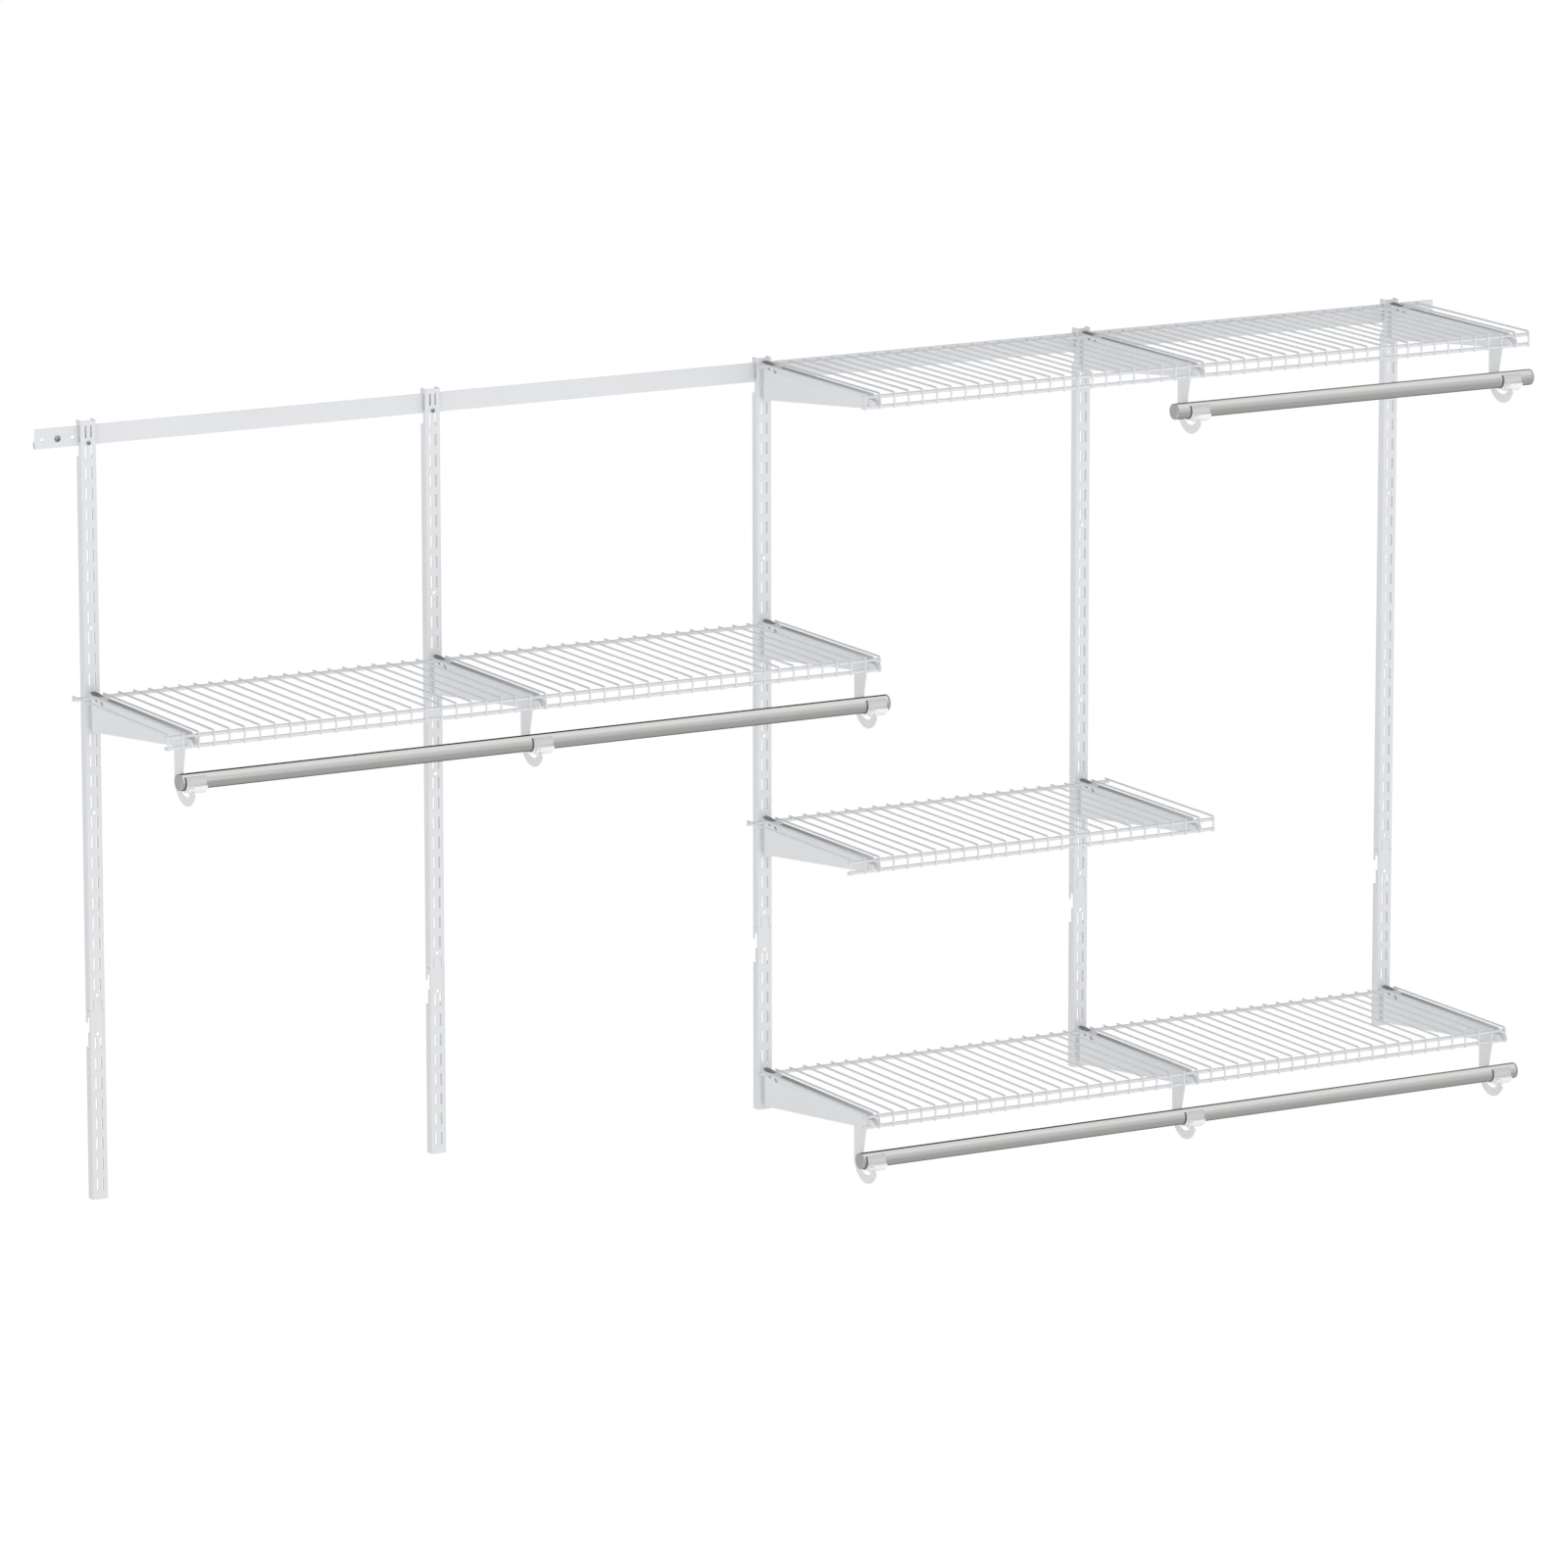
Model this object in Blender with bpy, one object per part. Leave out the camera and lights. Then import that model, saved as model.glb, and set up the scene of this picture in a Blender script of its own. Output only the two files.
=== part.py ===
"""Wall mounted closet system: a hang rail, slotted uprights with extensions,
wire shelves on slot brackets, and hang rods lying in white plastic saddles.

Frame: +X right along the wall, +Y into the wall, +Z up, in metres. The wall is
the plane y = 0. The origin is on the wall at the middle of the rail's back leg,
behind the middle upright. A distance in front of the wall is called a depth,
and a depth d is the place y = -d.
"""

import math

import bmesh
import bpy
from mathutils import Matrix, Vector

# Grid that the whole system follows
CROSS_PITCH = 0.0254
BAY_PITCHES = 23
BAY = BAY_PITCHES * CROSS_PITCH
UPRIGHT_COUNT = 5
SLOT_PITCH = 0.03175

# Clearances and helper sizes
FIT = 0.0003
SEAT_FIT = 0.0005
OVERRUN = 0.002
MERGE = 0.000001

# Hang rail: a channel open at the top, with its back leg on the wall
RAIL_SHEET = 0.0015
RAIL_HEIGHT = 0.0305
RAIL_DEPTH = 0.007
RAIL_LEG = 0.010
RAIL_OVERHANG = 0.0847
RAIL_HOLE_RADIUS = 0.00315
RAIL_HOLE_INSET = 0.0121
RAIL_HOLE_RISE = 0.0134
RAIL_END_HOLES = 3
RAIL_HOLE_SIDES = 12
RAIL_BOTTOM = -RAIL_LEG / 2
RAIL_TOP = RAIL_BOTTOM + RAIL_HEIGHT
RAIL_HALF = BAY * (UPRIGHT_COUNT - 1) / 2 + RAIL_OVERHANG

# Uprights and their extensions: channels with two columns of slots
UPRIGHT_SHEET = 0.0015
UPRIGHT_WIDTH = 0.0254
UPRIGHT_DEPTH = 0.0162
UPRIGHT_LENGTH = 0.9145
UPRIGHT_HEAD = 0.00725
UPRIGHT_FOOT = 0.030
FIRST_SLOT_BELOW_RAIL = 0.010
SLOT_LENGTH = 0.019
SLOT_OFFSET = 0.0044
SLOT_PLAY = 0.00085
HOLE_RADIUS = 0.003
HOLE_RISE = 0.0145
HOLE_SLOTS_APART = 9
UPRIGHT_HOLES = 4
HOLE_SIDES = 6
EXTENSION_LENGTH = 0.2977
EXTENSION_SLOTS = 8
EXTENSION_FIRST_SLOT = 0.0515
TONGUE_WIDTH = 0.013
TONGUE_HEIGHT = 0.016
SLOTTED_LENGTH = UPRIGHT_LENGTH - UPRIGHT_HEAD - UPRIGHT_FOOT - SLOT_LENGTH
UPRIGHT_SLOTS = int(SLOTTED_LENGTH / SLOT_PITCH) + 1
SLOT_1 = RAIL_BOTTOM - FIRST_SLOT_BELOW_RAIL
UPRIGHT_TOP = SLOT_1 + SLOT_PITCH + SLOT_LENGTH / 2 + UPRIGHT_HEAD
UPRIGHT_BOTTOM = UPRIGHT_TOP - UPRIGHT_LENGTH
EXTENSION_TOP = UPRIGHT_BOTTOM - FIT
EXTENSION_SLOT_1 = EXTENSION_TOP - EXTENSION_FIRST_SLOT

# Rail notch in the flanges, measured from the piece's own first slot
NOTCH_TOP = RAIL_HEIGHT + FIRST_SLOT_BELOW_RAIL + FIT
NOTCH_DEEP = 0.0129
NOTCH_DEEP_BOTTOM = 0.016
NOTCH_SHALLOW = RAIL_DEPTH + SEAT_FIT
NOTCH_SHALLOW_BOTTOM = -0.0075
NOTCH_TAB_DEPTH = 0.0038
NOTCH_TAB_LENGTH = 0.0095

# Screws
RAIL_SCREW_HEAD_RADIUS = 0.00485
RAIL_SCREW_HEAD_HEIGHT = 0.0026
RAIL_SCREW_SHANK_RADIUS = 0.0021
UPRIGHT_SCREW_HEAD_RADIUS = 0.0033
UPRIGHT_SCREW_HEAD_HEIGHT = 0.0022
UPRIGHT_SCREW_SHANK_RADIUS = 0.0019
SCREW_CROWN_SHARE = 0.6
SCREW_SIDES = 6

# Wire shelves
WIRE_RADIUS = 0.0016
WIRE_SIDES = 3
ROD_RADIUS = 0.0028
ROD_SIDES = 8
WELD = 0.0004
WIRE_RISE = 0.0007
WIRE_REAR_DEPTH = 0.0277
LIP_DEPTH = 0.3593
LIP_HEIGHT = 0.0248
BACK_ROD_DEPTH = 0.033
FRONT_ROD_DROP = 0.0047
LIP_ROD_RISE = 0.0035
ROD_END_REACH = 0.0034
BACK_ROD_DROP = WIRE_RADIUS + ROD_RADIUS - WELD - WIRE_RISE
LIP_ROD_DEPTH = LIP_DEPTH - WIRE_RADIUS - ROD_RADIUS + WELD
LIP_ROD_DROP = LIP_HEIGHT - LIP_ROD_RISE - WIRE_RISE

# Shelf brackets: two side plates joined by a bridge at the top
BRACKET_SHEET = 0.0015
BRACKET_WIDTH = 0.013
BRACKET_REAR_DEPTH = 0.0576
BRACKET_SLOPE_SHARE = 0.1065
JOGGLE_START = 0.0185
JOGGLE_END = 0.0265
TOP_CORNER_DEPTH = 0.022
TOP_CORNER_DROP = 0.004
REAR_CORNER_RISE = 0.003
TAB_TOP_PLAY = 0.0065
TAB_DROP = 0.005
TAB_THICKNESS = 0.0034
TAB_COUNT = 2
BRIDGE_START = 0.0405
BRIDGE_END = 0.0625
BRIDGE_RECESS = 0.001
BRIDGE_FLAP = 0.006
NOSE_REACH = 0.0167
NOSE_ROUND = 0.008
NOSE_TOP_RISE = 0.0009
NOSE_STEPS = 2
BRACKET_REAR = UPRIGHT_DEPTH + FIT
NOSE_TIP = LIP_DEPTH + NOSE_REACH

# Hang rods, their saddles and the bracket's rod hook
HANG_RADIUS = 0.0127
HANG_WALL = 0.001
HANG_SIDES = 16
HANG_SETBACK = 0.0088
HANG_DROP = 0.075
CAP_FLANGE = 0.003
CAP_ROUND = 0.001
CAP_PLUG = 0.010
SADDLE_WALL = 0.0057
SADDLE_LENGTH = 0.0315
SADDLE_LIP_ANGLE = math.radians(17)
SADDLE_STEPS = 6
FLANGE_RISE = 0.010
COLLAR_RISE = 0.0019
COLLAR_THICKNESS = 0.0015
HOOK_WIDTH = 0.0134
HOOK_THROAT = 0.0027
HOOK_THROAT_ANGLE = math.radians(54)
HOOK_TIP_ANGLE = math.radians(28)
SEAT_FIT_ANGLE = math.radians(2)
HOOK_TIP_ROUND_ANGLE = math.radians(5)
THROAT_STEPS = 2
HOOK_STEPS = 6
HANG_DEPTH = LIP_DEPTH - HANG_SETBACK
SADDLE_INNER = HANG_RADIUS + SEAT_FIT
SADDLE_OUTER = SADDLE_INNER + SADDLE_WALL
FLANGE_RADIUS = SADDLE_INNER + FLANGE_RISE
SEAT_RADIUS = FLANGE_RADIUS + SEAT_FIT
HOOK_RADIUS = SEAT_RADIUS + HOOK_WIDTH
SEAT_ANGLE = SADDLE_LIP_ANGLE - SEAT_FIT_ANGLE

# Colours and finishes
WHITE_COAT = ((0.86, 0.87, 0.88, 1), 0.4, 0.0)
WHITE_PLASTIC = ((0.88, 0.88, 0.88, 1), 0.5, 0.0)
SATIN_NICKEL = ((0.62, 0.61, 0.59, 1), 0.35, 1.0)
GREY_PLASTIC = ((0.32, 0.32, 0.33, 1), 0.5, 0.0)
ZINC = ((0.45, 0.45, 0.46, 1), 0.4, 1.0)

# Shelf levels: the first upright, how many uprights carry it, the column and
# slot under its brackets' upper tab, the wires left of the first upright, all
# wires, the number of brackets from the right that have rod hooks
SHELVES = {
    "left": (0, 3, "upright", 13, 2, 49, 3),
    "top": (2, 3, "upright", 0, 1, 49, 2),
    "middle": (2, 2, "upright", 23, 2, 27, 0),
    "bottom": (2, 3, "extension", 7, 1, 48, 3),
}

# How far each hang rod passes the first and the last upright that holds it
ROD_OVERHANGS = {
    "left": (0.0173, 0.0326),
    "top": (0.0351, 0.0499),
    "bottom": (0.0171, 0.0391),
}


def upright_x(index):
    """Return the centre of an upright along the wall."""
    return (index - (UPRIGHT_COUNT - 1) / 2) * BAY


def bracket_top(level):
    """Return the height of a shelf level's bracket tops."""
    column, slot = SHELVES[level][2:4]
    first = SLOT_1 if column == "upright" else EXTENSION_SLOT_1
    return first - (slot - 1) * SLOT_PITCH + SLOT_LENGTH / 2


def bracket_bottom(depth):
    """Return the height of the sloping bottom edge below the bracket's top."""
    return -BRACKET_REAR_DEPTH + BRACKET_SLOPE_SHARE * (depth - JOGGLE_END)


def clear_scene():
    """Remove every object, mesh, curve and material of the open scene."""
    for item in list(bpy.data.objects):
        bpy.data.objects.remove(item, do_unlink=True)
    for group in list(bpy.data.collections):
        bpy.data.collections.remove(group)
    for blocks in (bpy.data.meshes, bpy.data.curves, bpy.data.materials):
        for block in list(blocks):
            blocks.remove(block)


def new_collection(name):
    """Make a collection in the scene."""
    group = bpy.data.collections.new(name)
    bpy.context.scene.collection.children.link(group)
    return group


def new_material(name, look):
    """Make a material from a colour, a roughness and a metallic value."""
    colour, roughness, metallic = look
    material = bpy.data.materials.new(name)
    material.use_nodes = True
    shader = material.node_tree.nodes["Principled BSDF"]
    shader.inputs["Base Color"].default_value = colour
    shader.inputs["Roughness"].default_value = roughness
    shader.inputs["Metallic"].default_value = metallic
    material.diffuse_color = colour
    return material


def mesh_object(name, mesh, group):
    """Link a new object that shows a mesh."""
    item = bpy.data.objects.new(name, mesh)
    group.objects.link(item)
    return item


def finish_mesh(tool, name):
    """Turn a bmesh into a mesh with its faces pointing out."""
    bmesh.ops.remove_doubles(tool, verts=tool.verts, dist=MERGE)
    bmesh.ops.recalc_face_normals(tool, faces=tool.faces)
    mesh = bpy.data.meshes.new(name)
    tool.to_mesh(mesh)
    tool.free()
    return mesh


def evaluated_mesh(item, name):
    """Return an object's evaluated mesh in world space, and remove the object."""
    bpy.context.view_layer.update()
    graph = bpy.context.evaluated_depsgraph_get()
    raw = bpy.data.meshes.new_from_object(item.evaluated_get(graph))
    tool = bmesh.new()
    tool.from_mesh(raw)
    tool.transform(item.matrix_world)
    source = item.data
    bpy.data.objects.remove(item, do_unlink=True)
    bpy.data.meshes.remove(raw)
    if isinstance(source, bpy.types.Curve):
        bpy.data.curves.remove(source)
    return finish_mesh(tool, name)


def along_x():
    """Stand a flat outline up: its x becomes +Y, its y +Z, its thickness +X."""
    return Matrix(((0, 0, 1, 0), (1, 0, 0, 0), (0, 1, 0, 0), (0, 0, 0, 1)))


def prism(name, points, low, high, turn=None):
    """Extrude a flat outline from low to high, along its own normal."""
    curve = bpy.data.curves.new(name, "CURVE")
    curve.dimensions = "2D"
    curve.fill_mode = "BOTH"
    curve.extrude = (high - low) / 2
    spline = curve.splines.new("POLY")
    spline.points.add(len(points) - 1)
    spline.use_cyclic_u = True
    for point, (u, v) in zip(spline.points, points):
        point.co = (u, v, 0, 1)
    item = bpy.data.objects.new(name, curve)
    bpy.context.scene.collection.objects.link(item)
    item.matrix_world = (turn or Matrix()) @ Matrix.Translation((0, 0, (low + high) / 2))
    return evaluated_mesh(item, name)


def add_box(tool, low, high):
    """Add a box between two corners to a bmesh."""
    low, high = Vector(low), Vector(high)
    place = Matrix.Translation((low + high) / 2) @ Matrix.Diagonal((high - low).to_4d())
    place[3][3] = 1
    bmesh.ops.create_cube(tool, size=1, matrix=place)


def add_cylinder(tool, start, end, radius, sides):
    """Add a capped cylinder between two points to a bmesh."""
    start, end = Vector(start), Vector(end)
    turn = (end - start).to_track_quat("Z", "Y").to_matrix().to_4x4()
    place = Matrix.Translation((start + end) / 2) @ turn
    bmesh.ops.create_cone(
        tool, cap_ends=True, segments=sides, radius1=radius, radius2=radius,
        depth=(end - start).length, matrix=place,
    )


def combine(name, mesh, operation, others, cutters):
    """Cut, join or intersect a mesh with others, and keep those as hidden guides."""
    body = mesh_object(name, mesh, cutters)
    for number, other in enumerate(others, 1):
        guide = mesh_object(f"{name}_guide_{operation.lower()}_{number}", other, cutters)
        guide.hide_render = True
        guide.display_type = "WIRE"
        modifier = body.modifiers.new(guide.name, "BOOLEAN")
        modifier.operation = operation
        modifier.solver = "EXACT"
        modifier.object = guide
    return evaluated_mesh(body, name)


def turned(name, profile, sides, closed=False):
    """Turn a profile of (x, radius) points about the X axis."""
    tool = bmesh.new()
    verts = [tool.verts.new((x, 0, radius)) for x, radius in profile]
    ends = verts[1:] + verts[:1] if closed else verts[1:]
    edges = [tool.edges.new(pair) for pair in zip(verts, ends)]
    bmesh.ops.spin(
        tool, geom=verts + edges, cent=(0, 0, 0), axis=(1, 0, 0), dvec=(0, 0, 0),
        angle=2 * math.pi, steps=sides, use_merge=True, use_duplicate=False,
    )
    return finish_mesh(tool, name)


def shade_round(mesh):
    """Shade a round piece smooth, with its edges kept sharp."""
    mesh.shade_smooth()
    mesh.set_sharp_from_angle(angle=math.radians(40))


def place(name, mesh, material, group, location=(0, 0, 0), parent=None):
    """Link one sub-part at a place, and hang it on its group's empty."""
    item = mesh_object(name, mesh, group)
    if not mesh.materials:
        mesh.materials.append(material)
    item.location = location
    if parent:
        item.parent = parent
        item.location = Vector(location) - parent.matrix_world.translation
    return item


def place_empty(name, location, group, parent=None):
    """Link an empty that carries a moving group."""
    empty = bpy.data.objects.new(name, None)
    group.objects.link(empty)
    empty.empty_display_size = UPRIGHT_WIDTH
    empty.location = location
    if parent:
        empty.parent = parent
        empty.location = Vector(location) - parent.matrix_world.translation
    bpy.context.view_layer.update()
    return empty


def rail_mesh(cutters):
    """Hang rail: back leg, bottom web and front plate, with holes at both ends."""
    sheet = RAIL_SHEET
    outline = [
        (0, RAIL_BOTTOM),
        (0, RAIL_BOTTOM + RAIL_LEG),
        (-sheet, RAIL_BOTTOM + RAIL_LEG),
        (-sheet, RAIL_BOTTOM + sheet),
        (-RAIL_DEPTH + sheet, RAIL_BOTTOM + sheet),
        (-RAIL_DEPTH + sheet, RAIL_TOP),
        (-RAIL_DEPTH, RAIL_TOP),
        (-RAIL_DEPTH, RAIL_BOTTOM),
    ]
    rail = prism("hang_rail", outline, -RAIL_HALF, RAIL_HALF, along_x())
    holes = bmesh.new()
    for side in (-1, 1):
        for number in range(RAIL_END_HOLES):
            x, z = rail_hole(side, number)
            front = (x, -RAIL_DEPTH - OVERRUN, z)
            back = (x, -RAIL_DEPTH + RAIL_SHEET + OVERRUN, z)
            add_cylinder(holes, front, back, RAIL_HOLE_RADIUS, RAIL_HOLE_SIDES)
    drill = finish_mesh(holes, "rail_drill")
    return combine("hang_rail", rail, "DIFFERENCE", [drill], cutters)


def rail_hole(side, number):
    """Return the place (x, z) of a hole near one end of the rail."""
    x = side * (RAIL_HALF - RAIL_HOLE_INSET - number * CROSS_PITCH)
    return x, RAIL_BOTTOM + RAIL_HOLE_RISE


def channel(name, low, high):
    """Upright section: a web in front and two flanges back to the wall."""
    half = UPRIGHT_WIDTH / 2
    inner = half - UPRIGHT_SHEET
    outline = [
        (-half, 0),
        (-half, -UPRIGHT_DEPTH),
        (half, -UPRIGHT_DEPTH),
        (half, 0),
        (inner, 0),
        (inner, -UPRIGHT_DEPTH + UPRIGHT_SHEET),
        (-inner, -UPRIGHT_DEPTH + UPRIGHT_SHEET),
        (-inner, 0),
    ]
    return prism(name, outline, low, high)


def column_cutters(first_slot, slots, first_index, holes):
    """Slots, round holes and the flanges' rail notch of one column."""
    tool = bmesh.new()
    front = -UPRIGHT_DEPTH - OVERRUN
    back = -UPRIGHT_DEPTH + UPRIGHT_SHEET + OVERRUN
    half_slot = BRACKET_SHEET / 2 + SLOT_PLAY
    for index in range(first_index, first_index + slots):
        z = first_slot - (index - 1) * SLOT_PITCH
        for x in (-SLOT_OFFSET, SLOT_OFFSET):
            low = (x - half_slot, front, z - SLOT_LENGTH / 2)
            high = (x + half_slot, back, z + SLOT_LENGTH / 2)
            add_box(tool, low, high)
    for number in range(holes):
        z = first_slot + HOLE_RISE - number * HOLE_SLOTS_APART * SLOT_PITCH
        add_cylinder(tool, (0, front, z), (0, back, z), HOLE_RADIUS, HOLE_SIDES)
    drills = finish_mesh(tool, "column_drills")
    side = UPRIGHT_WIDTH / 2 + OVERRUN
    tab_bottom = first_slot + NOTCH_TOP - NOTCH_TAB_LENGTH
    notches = bmesh.new()
    low = (-side, -NOTCH_DEEP, first_slot + NOTCH_DEEP_BOTTOM)
    add_box(notches, low, (side, -NOTCH_TAB_DEPTH, first_slot + NOTCH_TOP))
    shallow = bmesh.new()
    low = (-side, -NOTCH_SHALLOW, first_slot + NOTCH_SHALLOW_BOTTOM)
    add_box(shallow, low, (side, OVERRUN, tab_bottom))
    return [drills, finish_mesh(notches, "deep_notch"), finish_mesh(shallow, "shallow_notch")]


def upright_mesh(cutters):
    """Upright with its slots, holes, rail notch and the notch for the tongue."""
    body = channel("upright", UPRIGHT_BOTTOM, UPRIGHT_TOP)
    tools = column_cutters(SLOT_1, UPRIGHT_SLOTS, 0, UPRIGHT_HOLES)
    seat = bmesh.new()
    half = TONGUE_WIDTH / 2 + FIT
    low = (-half, -UPRIGHT_DEPTH - OVERRUN, UPRIGHT_BOTTOM - OVERRUN)
    high = (half, -UPRIGHT_DEPTH + UPRIGHT_SHEET + OVERRUN, UPRIGHT_BOTTOM + TONGUE_HEIGHT)
    add_box(seat, low, high)
    tools.append(finish_mesh(seat, "tongue_seat"))
    return combine("upright", body, "DIFFERENCE", tools, cutters)


def extension_mesh(cutters):
    """Extension with its slots, hole, rail notch and the tongue on top."""
    body = channel("extension", EXTENSION_TOP - EXTENSION_LENGTH, EXTENSION_TOP)
    tools = column_cutters(EXTENSION_SLOT_1, EXTENSION_SLOTS, 1, 1)
    body = combine("extension", body, "DIFFERENCE", tools, cutters)
    tongue = bmesh.new()
    half = TONGUE_WIDTH / 2
    low = (-half, -UPRIGHT_DEPTH, EXTENSION_TOP - UPRIGHT_SHEET)
    high = (half, -UPRIGHT_DEPTH + UPRIGHT_SHEET, UPRIGHT_BOTTOM + TONGUE_HEIGHT - FIT)
    add_box(tongue, low, high)
    return combine("extension_body", body, "UNION", [finish_mesh(tongue, "tongue")], cutters)


def screw_mesh(name, head_radius, head_height, shank_radius, shank_length):
    """Pan head screw with its head's seat at x = 0 and its head towards +X."""
    crown = head_radius * SCREW_CROWN_SHARE
    profile = [
        (-shank_length, 0),
        (-shank_length, shank_radius),
        (0, shank_radius),
        (0, head_radius),
        (head_height * SCREW_CROWN_SHARE, head_radius),
        (head_height, crown),
        (head_height, 0),
    ]
    mesh = turned(name, profile, SCREW_SIDES)
    mesh.transform(Matrix.Rotation(-math.pi / 2, 4, "Z"))
    shade_round(mesh)
    return mesh


def add_wire(tool, x):
    """Add one cross wire: a bar with an edge below, run forward and bent down."""
    corners = []
    for number in range(WIRE_SIDES):
        angle = number * 2 * math.pi / WIRE_SIDES - math.pi / 2
        corners.append((math.cos(angle) * WIRE_RADIUS, math.sin(angle) * WIRE_RADIUS))
    verts = [tool.verts.new((x + u, -WIRE_REAR_DEPTH, WIRE_RISE + v)) for u, v in corners]
    end = tool.faces.new(verts)
    for stage in ("bend", "tip"):
        grown = bmesh.ops.extrude_face_region(tool, geom=[end])["geom"]
        if stage == "tip":
            bmesh.ops.delete(tool, geom=[end], context="FACES_ONLY")
        end = next(item for item in grown if isinstance(item, bmesh.types.BMFace))
        for vert in end.verts:
            if stage == "bend":
                vert.co.y = -LIP_DEPTH - (vert.co.z - WIRE_RISE)
            else:
                vert.co.z = WIRE_RISE - LIP_HEIGHT


def shelf_mesh(count, cutters):
    """Wire shelf: cross wires welded on a back rod, and two rods behind its lip."""
    tool = bmesh.new()
    for number in range(count):
        add_wire(tool, number * CROSS_PITCH)
    wires = finish_mesh(tool, f"shelf_{count}")
    rods = bmesh.new()
    left = -ROD_END_REACH
    right = (count - 1) * CROSS_PITCH + ROD_END_REACH
    for depth, drop in (
        (BACK_ROD_DEPTH, BACK_ROD_DROP),
        (LIP_ROD_DEPTH, FRONT_ROD_DROP),
        (LIP_ROD_DEPTH, LIP_ROD_DROP),
    ):
        start = (left, -depth, -drop)
        add_cylinder(rods, start, (right, -depth, -drop), ROD_RADIUS, ROD_SIDES)
    return combine(f"shelf_{count}", wires, "UNION", [finish_mesh(rods, "rods")], cutters)


def arc(centre, radius, start, end, steps):
    """Return outline points on an arc; angle 0 is to the rear and +90 up."""
    points = []
    for number in range(steps + 1):
        angle = start + (end - start) * number / steps
        points.append((
            centre[0] + radius * math.cos(angle),
            centre[1] + radius * math.sin(angle),
        ))
    return points


def rear_outline():
    """Rear edge of a plate, bottom to top, with its tabs for two slots."""
    hook_front = -UPRIGHT_DEPTH + UPRIGHT_SHEET + FIT
    hook_back = hook_front + TAB_THICKNESS
    points = [
        (-JOGGLE_END, bracket_bottom(JOGGLE_END)),
        (-BRACKET_REAR, bracket_bottom(JOGGLE_END) + REAR_CORNER_RISE),
    ]
    for number in reversed(range(TAB_COUNT)):
        slot_top = -number * SLOT_PITCH
        rest = slot_top - SLOT_LENGTH + FIT
        points += [
            (-BRACKET_REAR, rest),
            (hook_front, rest),
            (hook_front, rest - TAB_DROP),
            (hook_back, rest - TAB_DROP),
            (hook_back, slot_top - TAB_TOP_PLAY),
            (-BRACKET_REAR, slot_top - TAB_TOP_PLAY),
        ]
    points += [(-BRACKET_REAR, -TOP_CORNER_DROP), (-TOP_CORNER_DEPTH, 0)]
    return points


def top_outline():
    """Top edge of a plate, from the rear to its nose, notched for the rods."""
    half = ROD_RADIUS + FIT
    back_floor = -BACK_ROD_DROP - half
    front_floor = -FRONT_ROD_DROP - half
    nose_top = front_floor + NOSE_TOP_RISE
    lip_floor = -LIP_ROD_DROP + ROD_RADIUS + FIT
    centre = (-NOSE_TIP + NOSE_ROUND, nose_top - NOSE_ROUND)
    points = [
        (-BACK_ROD_DEPTH + half, 0),
        (-BACK_ROD_DEPTH + half, back_floor),
        (-BACK_ROD_DEPTH - half, back_floor),
        (-BACK_ROD_DEPTH - half, 0),
        (-LIP_ROD_DEPTH + half, 0),
        (-LIP_ROD_DEPTH + half, front_floor),
        (-LIP_ROD_DEPTH - half, front_floor),
        (-LIP_DEPTH, nose_top),
    ]
    points += arc(centre, NOSE_ROUND, math.pi / 2, math.pi, NOSE_STEPS)
    points += [(-NOSE_TIP, lip_floor), (-LIP_ROD_DEPTH + half, lip_floor)]
    return points


def hook_outline():
    """Rod hook below a plate: throat, saddle seat, tip and round outside."""
    centre = (-HANG_DEPTH, -HANG_DROP)
    stem_rear = HANG_DEPTH - HOOK_RADIUS
    tip_end = math.pi - HOOK_TIP_ANGLE
    throat = HANG_RADIUS + HOOK_THROAT
    points = [(-LIP_ROD_DEPTH + ROD_RADIUS + FIT, bracket_bottom(LIP_ROD_DEPTH))]
    points += arc(centre, throat, HOOK_THROAT_ANGLE, -SEAT_ANGLE, THROAT_STEPS)
    points += arc(centre, SEAT_RADIUS, -SEAT_ANGLE, -tip_end, HOOK_STEPS)
    tip = (SEAT_RADIUS + HOOK_RADIUS) / 2
    points += arc(centre, tip, -tip_end - HOOK_TIP_ROUND_ANGLE, 0, HOOK_STEPS)[:1]
    points += arc(centre, HOOK_RADIUS, -tip_end, 0, HOOK_STEPS)
    points.append((-stem_rear, bracket_bottom(stem_rear)))
    return points


def plate_mesh(name, side, hooked, cutters):
    """One bracket plate: a bent sheet seen from above, cut to its side outline."""
    outer = side * BRACKET_WIDTH / 2
    inner = outer - side * BRACKET_SHEET
    slot_outer = side * (SLOT_OFFSET + BRACKET_SHEET / 2)
    slot_inner = side * (SLOT_OFFSET - BRACKET_SHEET / 2)
    front = -NOSE_TIP - OVERRUN
    plan = [
        (outer, front),
        (outer, -JOGGLE_END),
        (slot_outer, -JOGGLE_START),
        (slot_outer, 0),
        (slot_inner, 0),
        (slot_inner, -JOGGLE_START),
        (inner, -JOGGLE_END),
        (inner, front),
    ]
    if hooked:
        plan[0] = (outer, -HANG_DEPTH - HOOK_RADIUS - OVERRUN)
        plan[-1] = (inner, -HANG_DEPTH - HOOK_RADIUS - OVERRUN)
    low = -HANG_DROP - HOOK_RADIUS - OVERRUN
    sheet = prism(name, plan, low, OVERRUN)
    outline = rear_outline() + top_outline()
    if hooked:
        outline += hook_outline()
    else:
        outline.append((-LIP_ROD_DEPTH + ROD_RADIUS + FIT, bracket_bottom(LIP_ROD_DEPTH)))
    side_view = prism(name, outline, -BRACKET_WIDTH, BRACKET_WIDTH, along_x())
    return combine(name, sheet, "INTERSECT", [side_view], cutters)


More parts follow.
